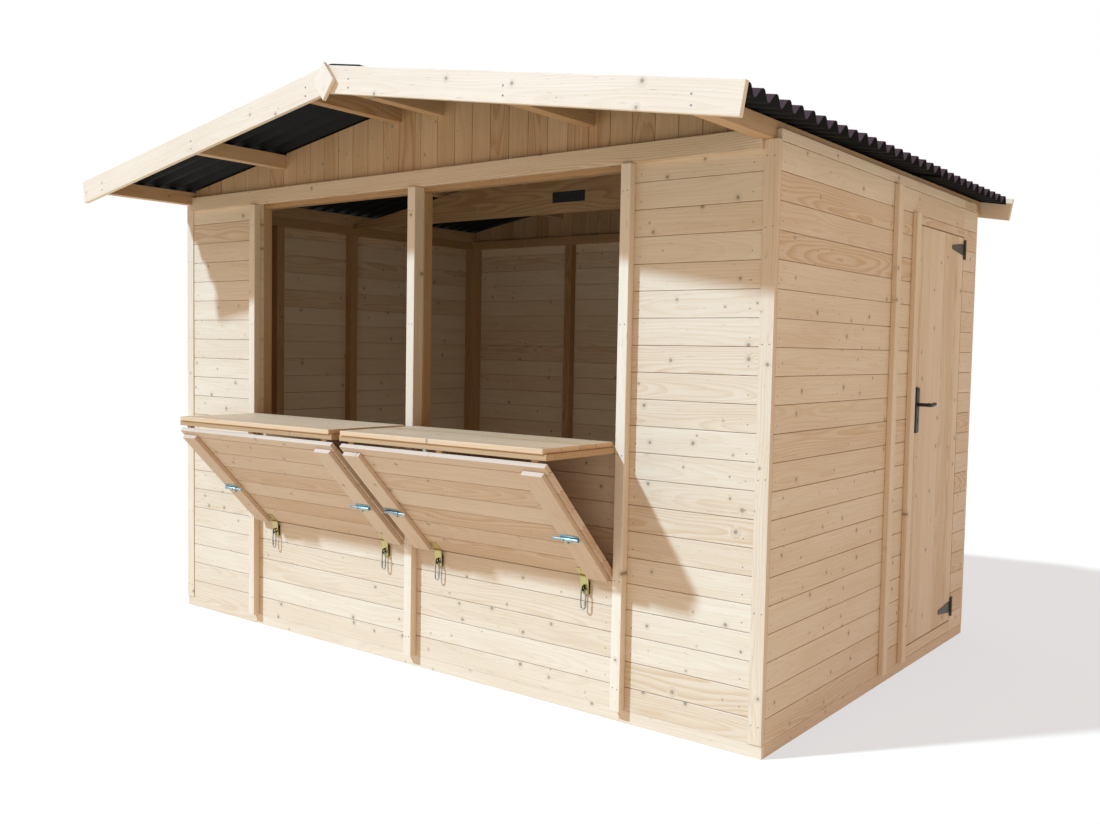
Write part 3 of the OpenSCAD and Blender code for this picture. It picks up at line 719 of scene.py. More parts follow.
def plated_steel(name, colour, tint, rough=0.34):
    """Zinc plated steel: bright metal whose passivation shifts the tint in soft clouds, with
    the fine lines of the rolled sheet and duller, rubbed patches."""
    found = bpy.data.materials.get(name)
    if found:
        return found
    material, tree, shader = new_material(name)
    place = add(tree, "ShaderNodeTexCoord").outputs["Object"]
    clouds = add(tree, "ShaderNodeTexNoise", {"Vector": place, "Scale": 55.0, "Detail": 4.0})
    clouds = add(tree, "ShaderNodeMapRange", {0: clouds, 1: 0.35, 2: 0.65})
    mixed = blend(tree, clouds, rgba(colour), rgba(tint))
    tree.links.new(mixed, shader.inputs["Base Color"])
    shader.inputs["Metallic"].default_value = 1.0
    lines = scaled(tree, place, (180.0, 1400.0, 1400.0))
    lines = add(tree, "ShaderNodeTexNoise", {"Vector": lines, "Scale": 1.0, "Detail": 2.0})
    dull = add(tree, "ShaderNodeMapRange", {0: lines, 3: rough - 0.08, 4: rough + 0.14})
    tree.links.new(dull.outputs[0], shader.inputs["Roughness"])
    emboss(tree, shader, lines, 0.2, 0.0002)
    return material


def black_coat(name, colour):
    """Black coated steel: a deep, even colour with the orange-peel dimple of a fired coat and
    a soft highlight that is duller where hands and weather have rubbed it."""
    found = bpy.data.materials.get(name)
    if found:
        return found
    material, tree, shader = new_material(name)
    place = add(tree, "ShaderNodeTexCoord").outputs["Object"]
    peel = add(tree, "ShaderNodeTexNoise", {"Vector": place, "Scale": 700.0, "Detail": 2.0})
    rubbed = add(tree, "ShaderNodeTexNoise", {"Vector": place, "Scale": 30.0, "Detail": 4.0})
    worn = add(tree, "ShaderNodeMapRange", {0: rubbed, 1: 0.45, 2: 0.75, 3: 0.0, 4: 0.4})
    pale = tuple(min(1.0, 0.02 + 1.5 * c) for c in colour)
    mixed = blend(tree, worn, rgba(colour), rgba(pale))
    tree.links.new(mixed, shader.inputs["Base Color"])
    dull = add(tree, "ShaderNodeMapRange", {0: rubbed, 3: 0.34, 4: 0.56})
    tree.links.new(dull.outputs[0], shader.inputs["Roughness"])
    emboss(tree, shader, peel, 0.25, 0.0003)
    return material


def lock_black():
    return black_coat("black_powder_coat", finishes().black_steel)


def hinge_black():
    return black_coat("black_zinc_hinges", finishes().hinge_steel)


def blue_zinc():
    return plated_steel("blue_zinc", finishes().zinc, linear("#AEB8B4"), rough=0.42)


def gold_zinc():
    return plated_steel("yellow_zinc", finishes().yellow_zinc, linear("#3C3516"), rough=0.4)


# yellow zinc darkened as painted shade for the staples on the wall under the counter
def staple_yellow_zinc_painted_shade():
    return plated_steel("staple_yellow_zinc_painted_shade", finishes().staple_zinc_painted_shade, linear("#33290F"), rough=0.45)


def wire_steel():
    return plated_steel("plated_steel_wire", finishes().wire, linear("#8C877C"), rough=0.38)


def nail_steel():
    return plated_steel("bright_nails", linear("#8E8980"), linear("#6E675C"), rough=0.42)


# ---- camera, light and floor ----

CAMERA_PLACE = Vector((2.9359, -3.7621, 1.2442))
CAMERA_YAW = 0.6586
CAMERA_PITCH = -0.0587
CAMERA_ROLL = 0.0178
CAMERA_LENS = 35.01


class STALL_OT_camera(bpy.types.Operator):
    """Adds the camera, a little below eye level at the right of the front"""
    bl_idname = "stall.camera"
    bl_label = "Camera"

    def execute(self, context):
        clear_selection()
        bpy.ops.object.camera_add()
        camera = context.object
        camera.name = "camera"
        camera.data.lens = CAMERA_LENS
        turn = Matrix.Rotation(CAMERA_YAW, 4, "Z")
        turn @= Matrix.Rotation(math.pi / 2 + CAMERA_PITCH, 4, "X")
        turn @= Matrix.Rotation(CAMERA_ROLL, 4, "Z")
        camera.matrix_world = Matrix.Translation(CAMERA_PLACE) @ turn
        context.scene.camera = camera
        return {"FINISHED"}


class STALL_OT_stage(bpy.types.Operator):
    """Adds a plain pale floor, an even sky and a soft key light from the upper left. The
    floor glows with painted light, as a lit studio sweep does, and its glow is cut to 0.45 where
    the stall stands, as painted shade under it"""
    bl_idname = "stall.stage"
    bl_label = "Studio"

    def execute(self, context):
        light = context.scene.stall_light
        clear_selection()
        bpy.ops.mesh.primitive_plane_add(size=80)
        floor = context.object
        floor.name = "floor"
        material, tree, shader = new_material("matt_studio_floor")
        place = add(tree, "ShaderNodeTexCoord").outputs["Object"]
        speck = add(tree, "ShaderNodeTexNoise", {"Vector": place, "Scale": 3.0})
        pale = finishes().floor
        tint = blend(tree, speck, rgba(pale), rgba(tuple(0.985 * c for c in pale)))
        tree.links.new(tint, shader.inputs["Base Color"])
        shader.inputs["Roughness"].default_value = 0.9
        shader.inputs["Emission Color"].default_value = rgba(linear("#E1F4FF"))
        # painted shade: the floor's glow is cut to 0.45 of its strength inside the stall's
        # footprint
        middle = (LOW_WALL_LO.y + WALL_HI.y) / 2
        inside = add(tree, "ShaderNodeVectorMath", {0: place, 1: (0.0, middle, 0.0)},
                     operation="SUBTRACT")
        axes = add(tree, "ShaderNodeSeparateXYZ", {0: inside})
        past = [math_node(tree, "GREATER_THAN", math_node(tree, "ABSOLUTE", axis), half)
                for axis, half in ((axes.outputs[0], WALL_HI.x),
                                   (axes.outputs[1], WALL_HI.y - middle))]
        outside_painted_shade = math_node(tree, "MAXIMUM", *past)
        glow = add(tree, "ShaderNodeMapRange", {0: outside_painted_shade, 3: 0.45 * light.floor_glow,
                                                4: light.floor_glow})
        tree.links.new(glow.outputs[0], shader.inputs["Emission Strength"])
        clad(floor, material)
        towards = Vector((0.4548, 0.5886, -0.6684))
        bpy.ops.object.light_add(type="SUN", rotation=towards.to_track_quat("-Z", "Y").to_euler())
        key = context.object
        key.name = "key_light"
        key.data.energy = light.sun
        key.data.angle = math.radians(3)
        key.data.color = linear("#A6D1FF")
        world = bpy.data.worlds.new("studio")
        context.scene.world = world
        world.use_nodes = True
        tree = world.node_tree
        sky = tree.nodes["Background"]
        sky.inputs["Color"].default_value = rgba(linear("#FFE2D6"))
        sky.inputs["Strength"].default_value = light.sky
        plain = add(tree, "ShaderNodeBackground", {"Color": rgba(linear("#FFFFFF"))})
        direct = add(tree, "ShaderNodeLightPath").outputs["Is Camera Ray"]
        seen = add(tree, "ShaderNodeMixShader", {0: direct, 1: sky, 2: plain})
        tree.links.new(seen.outputs[0], tree.nodes["World Output"].inputs["Surface"])
        context.scene.view_settings.view_transform = "Standard"
        return {"FINISHED"}


# ---- walls ----

def purlin_cutters():
    """Boxes a little larger than the purlins, to notch the gable boards over them."""
    cutters = []
    for name in PURLINS:
        low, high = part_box(name)
        inner = high.x - sizes().stud_width
        for side in (-1, 1):
            lo, hi = mirrored((inner - PART_GAP, low.y - 0.1, low.z - PART_GAP),
                              (high.x + PART_GAP, high.y + 0.1, high.z + 0.1), side)
            cutters.append(box(lo, hi))
    return cutters


def gable_boards(node, material, seed):
    """Upright boards over a gable, cut under the roof and notched over the purlins."""
    s = sizes()
    rng = random.Random(seed)
    low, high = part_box(node)
    centre = 15 * MM
    edges = [centre]
    while edges[-1] + s.gable_cover < high.x:
        edges.append(edges[-1] + s.gable_cover)
    edges.append(high.x)
    spans = [(-centre, centre)] + list(zip(edges, edges[1:]))
    spans += [(-b, -a) for a, b in spans[1:]]
    cutters = purlin_cutters()
    boards = []
    for a, b in spans:
        near, far = sorted((abs(a), abs(b))) if a * b > 0 else (0.0, centre)
        foot = low.z if far <= LOW_WALL_HI.x else WALL_HI.z
        sides = (1, -1) if near == 0 else (1 if a > 0 else -1,)
        cuts = [((0, 0, under(0) - PART_GAP), slope_normal(side)) for side in sides]
        notches = [c for c in cutters
                   if min(v.co.x for v in c.data.vertices) < b
                   and max(v.co.x for v in c.data.vertices) > a]
        boards.append(timber((a + s.joint_gap / 2, low.y, foot),
                             (b - s.joint_gap / 2, high.y, under(near)), "ZX", rng, material,
                             tongue=s.tongue / 2, cuts=cuts, cutters=notches))
    drop(*cutters)
    return boards


class STALL_OT_front_wall(bpy.types.Operator):
    """Boards the front: a pier at each end, the wall under the windows and the gable"""
    bl_idname = "stall.front_wall"
    bl_label = "Front wall boards"

    def execute(self, context):
        rng = random.Random("front wall")
        for node in ("front_wall_left", "front_wall_right", "front_wall_low"):
            boards = wall_boards(*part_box(node), "XZ", rng, board_wood())
            deliver(boards, node + "_boards", "pine_board", node)
        boards = gable_boards("front_gable", gable_wood_painted_shade(), "front gable")
        deliver(boards, "front_gable_boards", "pine_board", "front_gable")
        return {"FINISHED"}


class STALL_OT_rear_wall(bpy.types.Operator):
    """Boards the rear wall and its gable"""
    bl_idname = "stall.rear_wall"
    bl_label = "Rear wall boards"

    def execute(self, context):
        rng = random.Random("rear wall")
        deliver(wall_boards(*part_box("rear_wall"), "XZ", rng, board_wood()), "rear_wall_boards",
                "pine_board", "rear_wall")
        deliver(gable_boards("rear_gable", gable_wood_painted_shade(), "rear gable"), "rear_gable_boards",
                "pine_board", "rear_gable")
        return {"FINISHED"}


class STALL_OT_side_walls(bpy.types.Operator):
    """Boards the two side walls, round the doorway on the right"""
    bl_idname = "stall.side_walls"
    bl_label = "Side wall boards"

    def execute(self, context):
        rng = random.Random("side walls")
        for node in ("left_wall", "right_wall_front", "right_wall_over_door",
                     "right_wall_rear"):
            boards = wall_boards(*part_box(node), "YZ", rng, board_wood())
            deliver(boards, node + "_boards", "pine_board", node)
        return {"FINISHED"}


# ---- frame timbers, purlins and truss ----

def side_posts(side):
    """Middles of the posts in a side wall, from the front. side is 1 for the right."""
    stud, gap = sizes().stud_width, sizes().door_gap
    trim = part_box("side_trims")[0].y + stud / 2
    wall_front, wall_rear = FRAME_LO.y - BOARD_T, REAR_HI.y + BOARD_T
    posts = [FRAME_LO.y + stud / 2, (wall_front + trim) / 2, trim, REAR_HI.y - stud / 2]
    if side < 0:
        return posts + [(trim + wall_rear) / 2]
    return posts + [DOOR_LO.y - gap - stud / 2, DOOR_HI.y + gap + stud / 2]


def rails_and_posts(lo, hi, axis, posts, rng, material, extras=()):
    """A wall frame: a foot rail, a top rail and posts between them."""
    stud = sizes().stud_width
    other = "Y" if axis == "X" else "X"

    def piece(a, b, low, high, run):
        start, end = Vector((lo.x, lo.y, low)), Vector((hi.x, hi.y, high))
        index = "XYZ".index(axis)
        start[index], end[index] = a, b
        return timber(start, end, run, rng, material)

    index = "XYZ".index(axis)
    parts = [piece(lo[index], hi[index], 0, stud, axis + other),
             piece(lo[index], hi[index], hi.z - stud, hi.z, axis + other)]
    for post in posts:
        parts.append(piece(post - stud / 2, post + stud / 2, stud, hi.z - stud, "Z" + axis))
    for a, b, low, high in extras:
        parts.append(piece(a, b, low, high, axis + other))
    return parts


class STALL_OT_frames(bpy.types.Operator):
    """Adds the rails and posts behind the boards"""
    bl_idname = "stall.frames"
    bl_label = "Wall frames"

    def execute(self, context):
        stud = sizes().stud_width
        wood = sawn_stud_wood_painted_shade()
        rng = random.Random("frames")
        sill = LOW_WALL_HI
        end = FRAME_HI.x - stud / 2
        by_window = sill.x + stud / 2
        sills = [(stud / 2, sill.x, sill.z - stud, sill.z),
                 (-sill.x, -stud / 2, sill.z - stud, sill.z)]
        deliver(rails_and_posts(FRAME_LO, FRAME_HI, "X", (-end, -by_window, 0, by_window, end),
                                rng, wood, sills), "front_frame_timbers", "frame_timber",
                "front_frame")
        deliver(rails_and_posts(REAR_LO, REAR_HI, "X", (-end, -end / 2, 0, end / 2, end),
                                rng, wood), "rear_frame_timbers", "frame_timber", "rear_frame")
        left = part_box("left_frame")
        deliver(rails_and_posts(*left, "Y", side_posts(-1), rng, wood),
                "left_frame_timbers", "frame_timber", "left_frame")
        gap = sizes().door_gap
        near, far = DOOR_LO.y - gap, DOOR_HI.y + gap
        round_door = [(near, far, stud, DOOR_LO.z - gap),
                      (near, far, DOOR_HI.z + gap, DOOR_HI.z + gap + stud)]
        deliver(rails_and_posts(SIDE_LO, SIDE_HI, "Y", side_posts(1), rng, wood, round_door),
                "right_frame_timbers", "frame_timber", "right_frame")
        return {"FINISHED"}


class STALL_OT_purlins(bpy.types.Operator):
    """Adds the six purlins that carry the roof sheets"""
    bl_idname = "stall.purlins"
    bl_label = "Purlins"

    def execute(self, context):
        rng = random.Random("purlins")
        for name in PURLINS:
            low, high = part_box(name)
            inner = high.x - sizes().stud_width
            timbers = []
            for side in (-1, 1):
                lo, hi = mirrored((inner, low.y, low.z), (high.x, high.y, high.z), side)
                timbers.append(timber(lo, hi, "YZ", rng, gable_wood_painted_shade()))
            deliver(timbers, name[:-1] + "_timbers", "pine_board", name)
        return {"FINISHED"}


class STALL_OT_truss(bpy.types.Operator):
    """Adds the tie beam with its two uprights and the nail plate on it"""
    bl_idname = "stall.truss"
    bl_label = "Truss"

    def execute(self, context):
        rng = random.Random("truss")
        low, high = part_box("truss")
        stud = sizes().stud_width
        tie_top = low.z + 150 * MM
        slope_z = RIDGE_LO.z + ROOF_FALL * (RIDGE_HI.x - stud) - CONTACT_GAP
        cuts = [((0, 0, slope_z), slope_normal(side)) for side in (-1, 1)]
        notch = [box(*mirrored((SIDE_LO.x, low.y - 0.1, 0),
                               (high.x + 0.1, high.y + 0.1, SIDE_HI.z + PART_GAP), side))
                 for side in (-1, 1)]
        beam = timber(low, (high.x, high.y, tie_top), "XZ", rng, sawn_stud_wood_painted_shade(), cuts=cuts,
                      cutters=notch)
        drop(*notch)
        uprights = [timber(*mirrored((RIDGE_HI.x - stud, low.y, tie_top),
                                     (RIDGE_HI.x, high.y, high.z), side),
                           "ZX", rng, sawn_stud_wood_painted_shade()) for side in (-1, 1)]
        deliver([beam] + uprights, "truss_timbers", "frame_timber", "truss")
        low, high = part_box("truss_plate")
        plate = clad(box(low, high, 0.5 * MM), lock_black())
        teeth = dots([(x, z) for x in np.arange(low.x + 0.012, high.x - 0.01, 0.013)
                      for z in np.arange(low.z + 0.008, high.z - 0.004, 0.008)],
                     lambda x, z: (x, low.y, z), (0, -1, 0), 1.4 * MM, 0.3 * MM, nail_steel())
        deliver([plate] + teeth, "truss_nail_plate", "black_steel", "truss_plate")
        return {"FINISHED"}


# ---- boards on the walls ----

class STALL_OT_corner_boards(bpy.types.Operator):
    """Adds the upright boards at the four corners and the skirting boards at the foot"""
    bl_idname = "stall.corner_boards"
    bl_label = "Corner and skirting boards"

    def execute(self, context):
        rng = random.Random("corners")
        wood = board_wood()
        low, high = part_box("corner_boards")
        width = high.x - WALL_HI.x
        front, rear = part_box("front_wall_right"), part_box("rear_wall")
        boards = []
        for side in (-1, 1):
            for y0, y1 in ((low.y, front[1].y), (rear[0].y, high.y)):
                lo, hi = mirrored((high.x - width, y0, low.z), (high.x, y1, high.z), side)
                boards.append(timber(lo, hi, "ZX", rng, wood))
        deliver(boards, "corner_board_set", "pine_board", "corner_boards")

        low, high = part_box("skirting_boards")
        thick = BOARD_T
        foot = WALL_LO.z
        gap = sizes().joint_gap / 2
        joint = 0.975
        boards = []
        for y0, y1 in ((low.y, low.y + thick), (high.y - thick, high.y)):
            for a, b in ((low.x, -joint), (-joint + gap, joint), (joint + gap, high.x)):
                boards.append(timber((a, y0, 0), (b, y1, foot), "XZ", rng, wood))
        for side in (-1, 1):
            lo, hi = mirrored((high.x - thick, low.y + thick, 0),
                              (high.x, high.y - thick, foot), side)
            boards.append(timber(lo, hi, "YZ", rng, wood))
        gap = sizes().door_gap
        boards.append(timber((high.x - thick, DOOR_LO.y - gap, foot + sizes().joint_gap / 2),
                             (high.x, DOOR_HI.y + gap, high.z), "YZ", rng, wood))
        deliver(boards, "skirting_board_set", "pine_board", "skirting_boards")
        return {"FINISHED"}


class STALL_OT_trims(bpy.types.Operator):
    """Adds the window trims, the side trims and the bands over the walls"""
    bl_idname = "stall.trims"
    bl_label = "Trims and bands"

    def execute(self, context):
        rng = random.Random("trims")
        wood = trim_wood()
        low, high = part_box("front_trims")
        face, sill = LOW_WALL_LO.y, LOW_WALL_HI
        mullion = 20 * MM
        ease = 2.5 * MM
        boards = [timber((-mullion, low.y, low.z), (mullion, face, high.z), "ZX", rng, wood, ease),
                  timber((-mullion, face, sill.z), (mullion, high.y, high.z), "ZX", rng, wood)]
        for side in (-1, 1):
            lo, hi = mirrored((sill.x, low.y, low.z), (high.x, face, high.z), side)
            boards.append(timber(lo, hi, "ZX", rng, wood, ease))
        deliver(boards, "front_trim_set", "pale_pine", "front_trims")

        low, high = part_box("side_trims")
        face = SIDE_HI.x + BOARD_T
        width = sizes().stud_width
        boards = []
        for side in (-1, 1):
            lo, hi = mirrored((face, low.y, low.z), (high.x, low.y + width, high.z), side)
            boards.append(timber(lo, hi, "ZY", rng, board_wood(), ease))
        over_door = DOOR_HI.z + 40 * MM
        boards.append(timber((face, high.y - width, low.z), (high.x, high.y, over_door), "ZY",
                             rng, board_wood(), ease))
        deliver(boards, "side_trim_set", "pine_board", "side_trims")

        low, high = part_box("top_bands")
        thick = 20 * MM
        bands = []
        for y in (low.y, high.y - thick):
            cutters = purlin_cutters()
            band = timber((low.x, y, low.z), (high.x, y + thick, high.z), "XZ", rng,
                          board_wood(), 2 * MM, cutters=cutters[:2])
            drop(*cutters)
            bands.append(band)
        deliver(bands, "top_band_set", "pine_board", "top_bands")
        return {"FINISHED"}


# ---- roof ----

def folded_sheet(points, corners, copies, step, length, along):
    """A thin sheet: a line through points with rounded corners, repeated, then drawn out
    along a direction and given its thickness on the upper side."""
    s = sizes()
    clear_selection()
    bpy.ops.curve.primitive_bezier_curve_add()
    curve = bpy.context.object
    spline = curve.data.splines[0]
    spline.bezier_points.add(len(points) - 2)
    for knot, point in zip(spline.bezier_points, points):
        knot.co = point
        knot.handle_left_type = knot.handle_right_type = "VECTOR"
    curve.data.resolution_u = 1
    bpy.ops.object.convert(target="MESH")
    piece = bpy.context.object
    if copies > 1:
        repeat = piece.modifiers.new("waves", "ARRAY")
        repeat.count = copies
        repeat.use_relative_offset = False
        repeat.use_constant_offset = True
        repeat.constant_offset_displace = step
        repeat.use_merge_vertices = True
        bpy.ops.object.modifier_apply(modifier=repeat.name)
    ends = (min(v.co.dot(corners) for v in piece.data.vertices),
            max(v.co.dot(corners) for v in piece.data.vertices))
    pick(piece, lambda c: ends[0] + 1e-5 < c.dot(corners) < ends[1] - 1e-5)
    bpy.ops.mesh.bevel(offset=6 * MM, segments=3, affect="VERTICES")
    leave()
    edit(piece)
    bpy.ops.mesh.extrude_region_move(
        TRANSFORM_OT_translate={"value": Vector(along) * length})
    leave()
    if sum(p.normal.z for p in piece.data.polygons) < 0:
        edit(piece)
        bpy.ops.mesh.flip_normals()
        leave()
    clad(piece, bitumen("bitumen_sheet_top", finishes().sheet_top))
    # the underside and rims take the near-black painted-shade copy of the bitumen
    piece.data.materials.append(bitumen("bitumen_underside_painted_shade", finishes().sheet_under_painted_shade))
    thick = piece.modifiers.new("thickness", "SOLIDIFY")
    thick.thickness = s.sheet_thickness
    thick.offset = 1
    thick.material_offset = 1
    thick.material_offset_rim = 1
    bpy.ops.object.modifier_apply(modifier=thick.name)
    return piece


class STALL_OT_roof_sheets(bpy.types.Operator):
    """Adds lapped corrugated sheets on both slopes, with cap nails over the purlins"""
    bl_idname = "stall.roof_sheets"
    bl_label = "Roof sheets"

    def execute(self, context):
        s = sizes()
        low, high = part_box("roof_sheet_right")
        pitch = (high.y - low.y) / s.waves
        ridge_gap = 4 * MM
        length = (low.x + (high.x - low.x - s.sheet_thickness * math.sin(ROOF_PITCH)
                           - s.wave_height * math.sin(ROOF_PITCH))) / math.cos(ROOF_PITCH)
        count = (s.waves + s.sheets - 1) // s.sheets
        wave = [(0, 0, 0), (0, 0.18 * pitch, 0), (0, 0.5 * pitch, s.wave_height),
                (0, 0.68 * pitch, s.wave_height), (0, pitch, 0)]
        sheet = folded_sheet(wave, Vector((0, 1, 0)), count, (0, pitch, 0),
                             length - ridge_gap, (1, 0, 0))
        clear_selection()
        bpy.ops.mesh.primitive_uv_sphere_add(segments=16, ring_count=8, radius=11 * MM)
        nail = context.object
        nail.scale.z = 0.45
        settle(nail)
        bisect(nail, (0, 0, 0), (0, 0, -1))
        clad(nail, bitumen("bitumen_sheet_top", finishes().sheet_top))
        crest = s.wave_height + s.sheet_thickness
        for side, name in ((1, "right"), (-1, "left")):
            parts = []
            starts = [0, count - 1, s.waves - count]
            for i, start in enumerate(starts):
                lift = (i % 2) * (s.sheet_thickness + 0.3 * MM)
                place = slope_frame(low.y + start * pitch, side)
                parts.append(copy_of(sheet, place @ Matrix.Translation((ridge_gap, 0, lift))))
            slope = slope_frame(low.y, side)
            for purlin in ("eave_purlins", "middle_purlins"):
                x = (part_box(purlin)[1].x - s.stud_width / 2) / math.cos(ROOF_PITCH)
                for k in range(0, s.waves, 2):
                    lift = s.sheet_thickness * (count - 1 <= k < 2 * count - 1)
                    place = Matrix.Translation((x, (k + 0.59) * pitch, crest + lift))
                    parts.append(copy_of(nail, slope @ place))
            deliver(parts, f"roof_sheets_{name}", "bitumen_sheet", f"roof_sheet_{name}",
                    smooth=40)
        drop(sheet, nail)
        return {"FINISHED"}


class STALL_OT_ridge_cap(bpy.types.Operator):
    """Adds the folded cap over the ridge, in lapped lengths"""
    bl_idname = "stall.ridge_cap"
    bl_label = "Ridge cap"

    def execute(self, context):
        s = sizes()
        low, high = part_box("ridge_cap")
        half = high.x
        foot = (s.wave_height + s.sheet_thickness) / math.cos(ROOF_PITCH) + CONTACT_GAP
        lip = 8 * MM
        line = [(-half - 2 * MM, 0, under(half) + foot - lip), (-half, 0, under(half) + foot),
                (0, 0, under(0) + foot), (half, 0, under(half) + foot),
                (half + 2 * MM, 0, under(half) + foot - lip)]
        lap = 45 * MM
        pieces = 3
        length = (high.y - low.y + (pieces - 1) * lap) / pieces
        cap = folded_sheet(line, Vector((1, 0, 0)), 1, (0, 0, 0), length, (0, 1, 0))
        parts = []
        for i in range(pieces):
            lift = (i % 2) * (s.sheet_thickness + 0.3 * MM)
            parts.append(copy_of(cap, Matrix.Translation((0, low.y + i * (length - lap),
                                                          lift))))
        drop(cap)
        deliver(parts, "ridge_cap_sheets", "bitumen_sheet", "ridge_cap", smooth=40)
        return {"FINISHED"}


class STALL_OT_barge_boards(bpy.types.Operator):
    """Adds the barge boards at both ends of the roof, and the diamond over each joint"""
    bl_idname = "stall.barge_boards"
    bl_label = "Barge boards"

    def execute(self, context):
        rng = random.Random("barge")
        cosine, sine = math.cos(ROOF_PITCH), math.sin(ROOF_PITCH)
        low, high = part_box("barge_boards_right")
        rise, height, thick = 28 * MM, 96 * MM, 18 * MM
        end = high.x * cosine + (ROOF_FALL * high.x - rise) * sine
        for side, name in ((1, "right"), (-1, "left")):
            boards = []
            for y in (low.y, high.y - thick):
                place = slope_frame(y, side)
                cut = ((side * PART_GAP, 0, 0), (-side, 0, 0))
                boards.append(timber((-0.03, 0, (rise - height) * cosine),
                                     (end, thick, rise * cosine), "XZ", rng, trim_wood(),
                                     2 * MM, place=place, cuts=[cut]))
            deliver(boards, f"barge_board_pair_{name}", "pale_pine", f"barge_boards_{name}")
        low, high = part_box("finials")
        thick = 16 * MM
        plates = []
        for y in (low.y, high.y - thick):
            clear_selection()
            bpy.ops.mesh.primitive_cylinder_add(vertices=4, radius=0.5, depth=1,
                                                rotation=(math.pi / 2, 0, 0))
            plate = context.object
            plate.scale = (high.x - low.x, high.z - low.z, thick)
            plate.location = (0, y + thick / 2, (low.z + high.z) / 2)
            settle(plate)
            edit(plate)
            bpy.ops.mesh.bevel(offset=3 * MM, segments=3, affect="EDGES")
            leave()
            grain = Matrix.Translation(plate.data.vertices[0].co) @ Matrix.Rotation(
                -math.pi / 2, 4, "Y")
            mark_grain(plate, grain, rng)
            plates.append(clad(plate, trim_wood()))
        deliver(plates, "diamond_plates", "pale_pine", "finials")
        return {"FINISHED"}


# ---- counters and shutters ----

class STALL_OT_counters(bpy.types.Operator):
    """Adds both counters: four boards each, on rails and spacer blocks"""
    bl_idname = "stall.counters"
    bl_label = "Counters"

    def execute(self, context):
        rng = random.Random("counters")
        wood = counter_wood()
        low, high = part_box("counter_right")
        boards_each = 4
        width = (high.y - low.y) / boards_each
        gap = 1 * MM
        for side, name in ((1, "right"), (-1, "left")):
            boards = []
            for i in range(boards_each):
                y = low.y + i * width
                lo, hi = mirrored((low.x, y, low.z), (high.x, y + width - gap, high.z), side)
                boards.append(timber(lo, hi, "XY", rng, wood, 2.2 * MM))
            deliver(boards, f"counter_boards_{name}", "pale_pine", f"counter_{name}")

        low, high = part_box("counter_rails")
        rail_w, rail_z = 40 * MM, high.z - 20 * MM
        inner = LOW_WALL_HI.x - PART_GAP
        start = 20 * MM + PART_GAP
        front = low.y
        spacer_w = 25 * MM
        matrix, length = shutter_frame()
        shutter_top = matrix @ Vector((0, length, 0))
        parts = []
        for side in (-1, 1):
            blocks = [((start, front, rail_z), (inner, front + rail_w, high.z), "XY")]
            for x in (start, inner - rail_w):
                blocks.append(((x, front + rail_w, rail_z), (x + rail_w, high.y, high.z), "YX"))
                blocks.append(((x, LOW_WALL_LO.y, LOW_WALL_HI.z),
                               (x + rail_w, high.y, rail_z), "YX"))
            for x in (start + rail_w, (start + inner) / 2, inner - rail_w - spacer_w):
                blocks.append(((x, shutter_top.y - 3 * MM, low.z),
                               (x + spacer_w, shutter_top.y + 15 * MM, rail_z), "XY"))
            for lo, hi, run in blocks:
                parts.append(timber(*mirrored(lo, hi, side), run, rng, sawn_stud_wood_painted_shade()))
        deliver(parts, "counter_rail_set", "pine_board", "counter_rails")
        return {"FINISHED"}


def shutter_places():
    """The shutter frame on each side of the middle."""
    matrix, length = shutter_frame()
    return (("right", matrix), ("left", Matrix.Scale(-1, 4, (1, 0, 0)) @ matrix)), length


class STALL_OT_shutters(bpy.types.Operator):
    """Adds both shutters: tongued boards held by two battens"""
    bl_idname = "stall.shutters"
    bl_label = "Shutters"

    def execute(self, context):
        s = sizes()
        rng = random.Random("shutters")
        low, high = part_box("shutter_right")
        places, length = shutter_places()
        battens = []
        for name, place in places:
            boards = []
            rows = joints_between(0, length, s.board_cover, s.board_cover)
            for y0, y1 in rows:
                boards.append(timber((low.x, y0 + (s.joint_gap if y0 else 0), 0),
                                     (high.x, y1, s.shutter_thickness), "XY", rng,
                                     shutter_wood_painted_shade(), tongue=0 if y1 == length else s.tongue,
                                     place=place))
            deliver(boards, f"shutter_boards_{name}", "pine_board", f"shutter_{name}")
            for x in (low.x + s.batten_inset, high.x - s.batten_inset - s.batten_width):
                battens.append(timber(
                    (x, 8 * MM, s.shutter_thickness),
                    (x + s.batten_width, length - 22 * MM,
                     s.shutter_thickness + s.batten_thickness),
                    "YX", rng, shutter_wood_painted_shade(), 2.5 * MM, place=place))
        deliver(battens, "shutter_batten_set", "pine_board", "shutter_battens")
        return {"FINISHED"}


# ---- screws and nails ----

def screw_model(radius=3.4 * MM):
    """A countersunk screw head with a cross recess, its top facing +Z."""
    clear_selection()
    bpy.ops.mesh.primitive_cylinder_add(vertices=20, radius=radius, depth=1.2 * MM)
    head = bpy.context.object
    pick(head, lambda a, b: min(a.z, b.z) > 0.5 * MM, "EDGE")
    bpy.ops.mesh.bevel(offset=0.35 * MM, segments=2, affect="EDGES")
    leave()
    for size in ((0.55, 0.16), (0.16, 0.55)):
        bar = box((-radius * size[0], -radius * size[1], 0.1 * MM),
                  (radius * size[0], radius * size[1], 2 * MM))
        cut_out(head, bar)
        drop(bar)
    return head


def facing(point, normal, spin=0.0):
    """The frame of a fitting that lies on a surface, its Z along the surface's normal."""
    turn = Vector(normal).to_track_quat("Z", "Y").to_matrix().to_4x4()
    return Matrix.Translation(point) @ turn @ Matrix.Rotation(spin, 4, "Z")


def dots(spots, place, normal, radius, proud, material):
    """Small round heads, one at each spot, standing a little proud of a surface."""
    if not spots:
        return []
    clear_selection()
    bpy.ops.mesh.primitive_cylinder_add(vertices=12, radius=radius, depth=2 * proud)
    model = clad(bpy.context.object, material)
    heads = [copy_of(model, facing(place(*spot), normal)) for spot in spots]
    drop(model)
    return heads


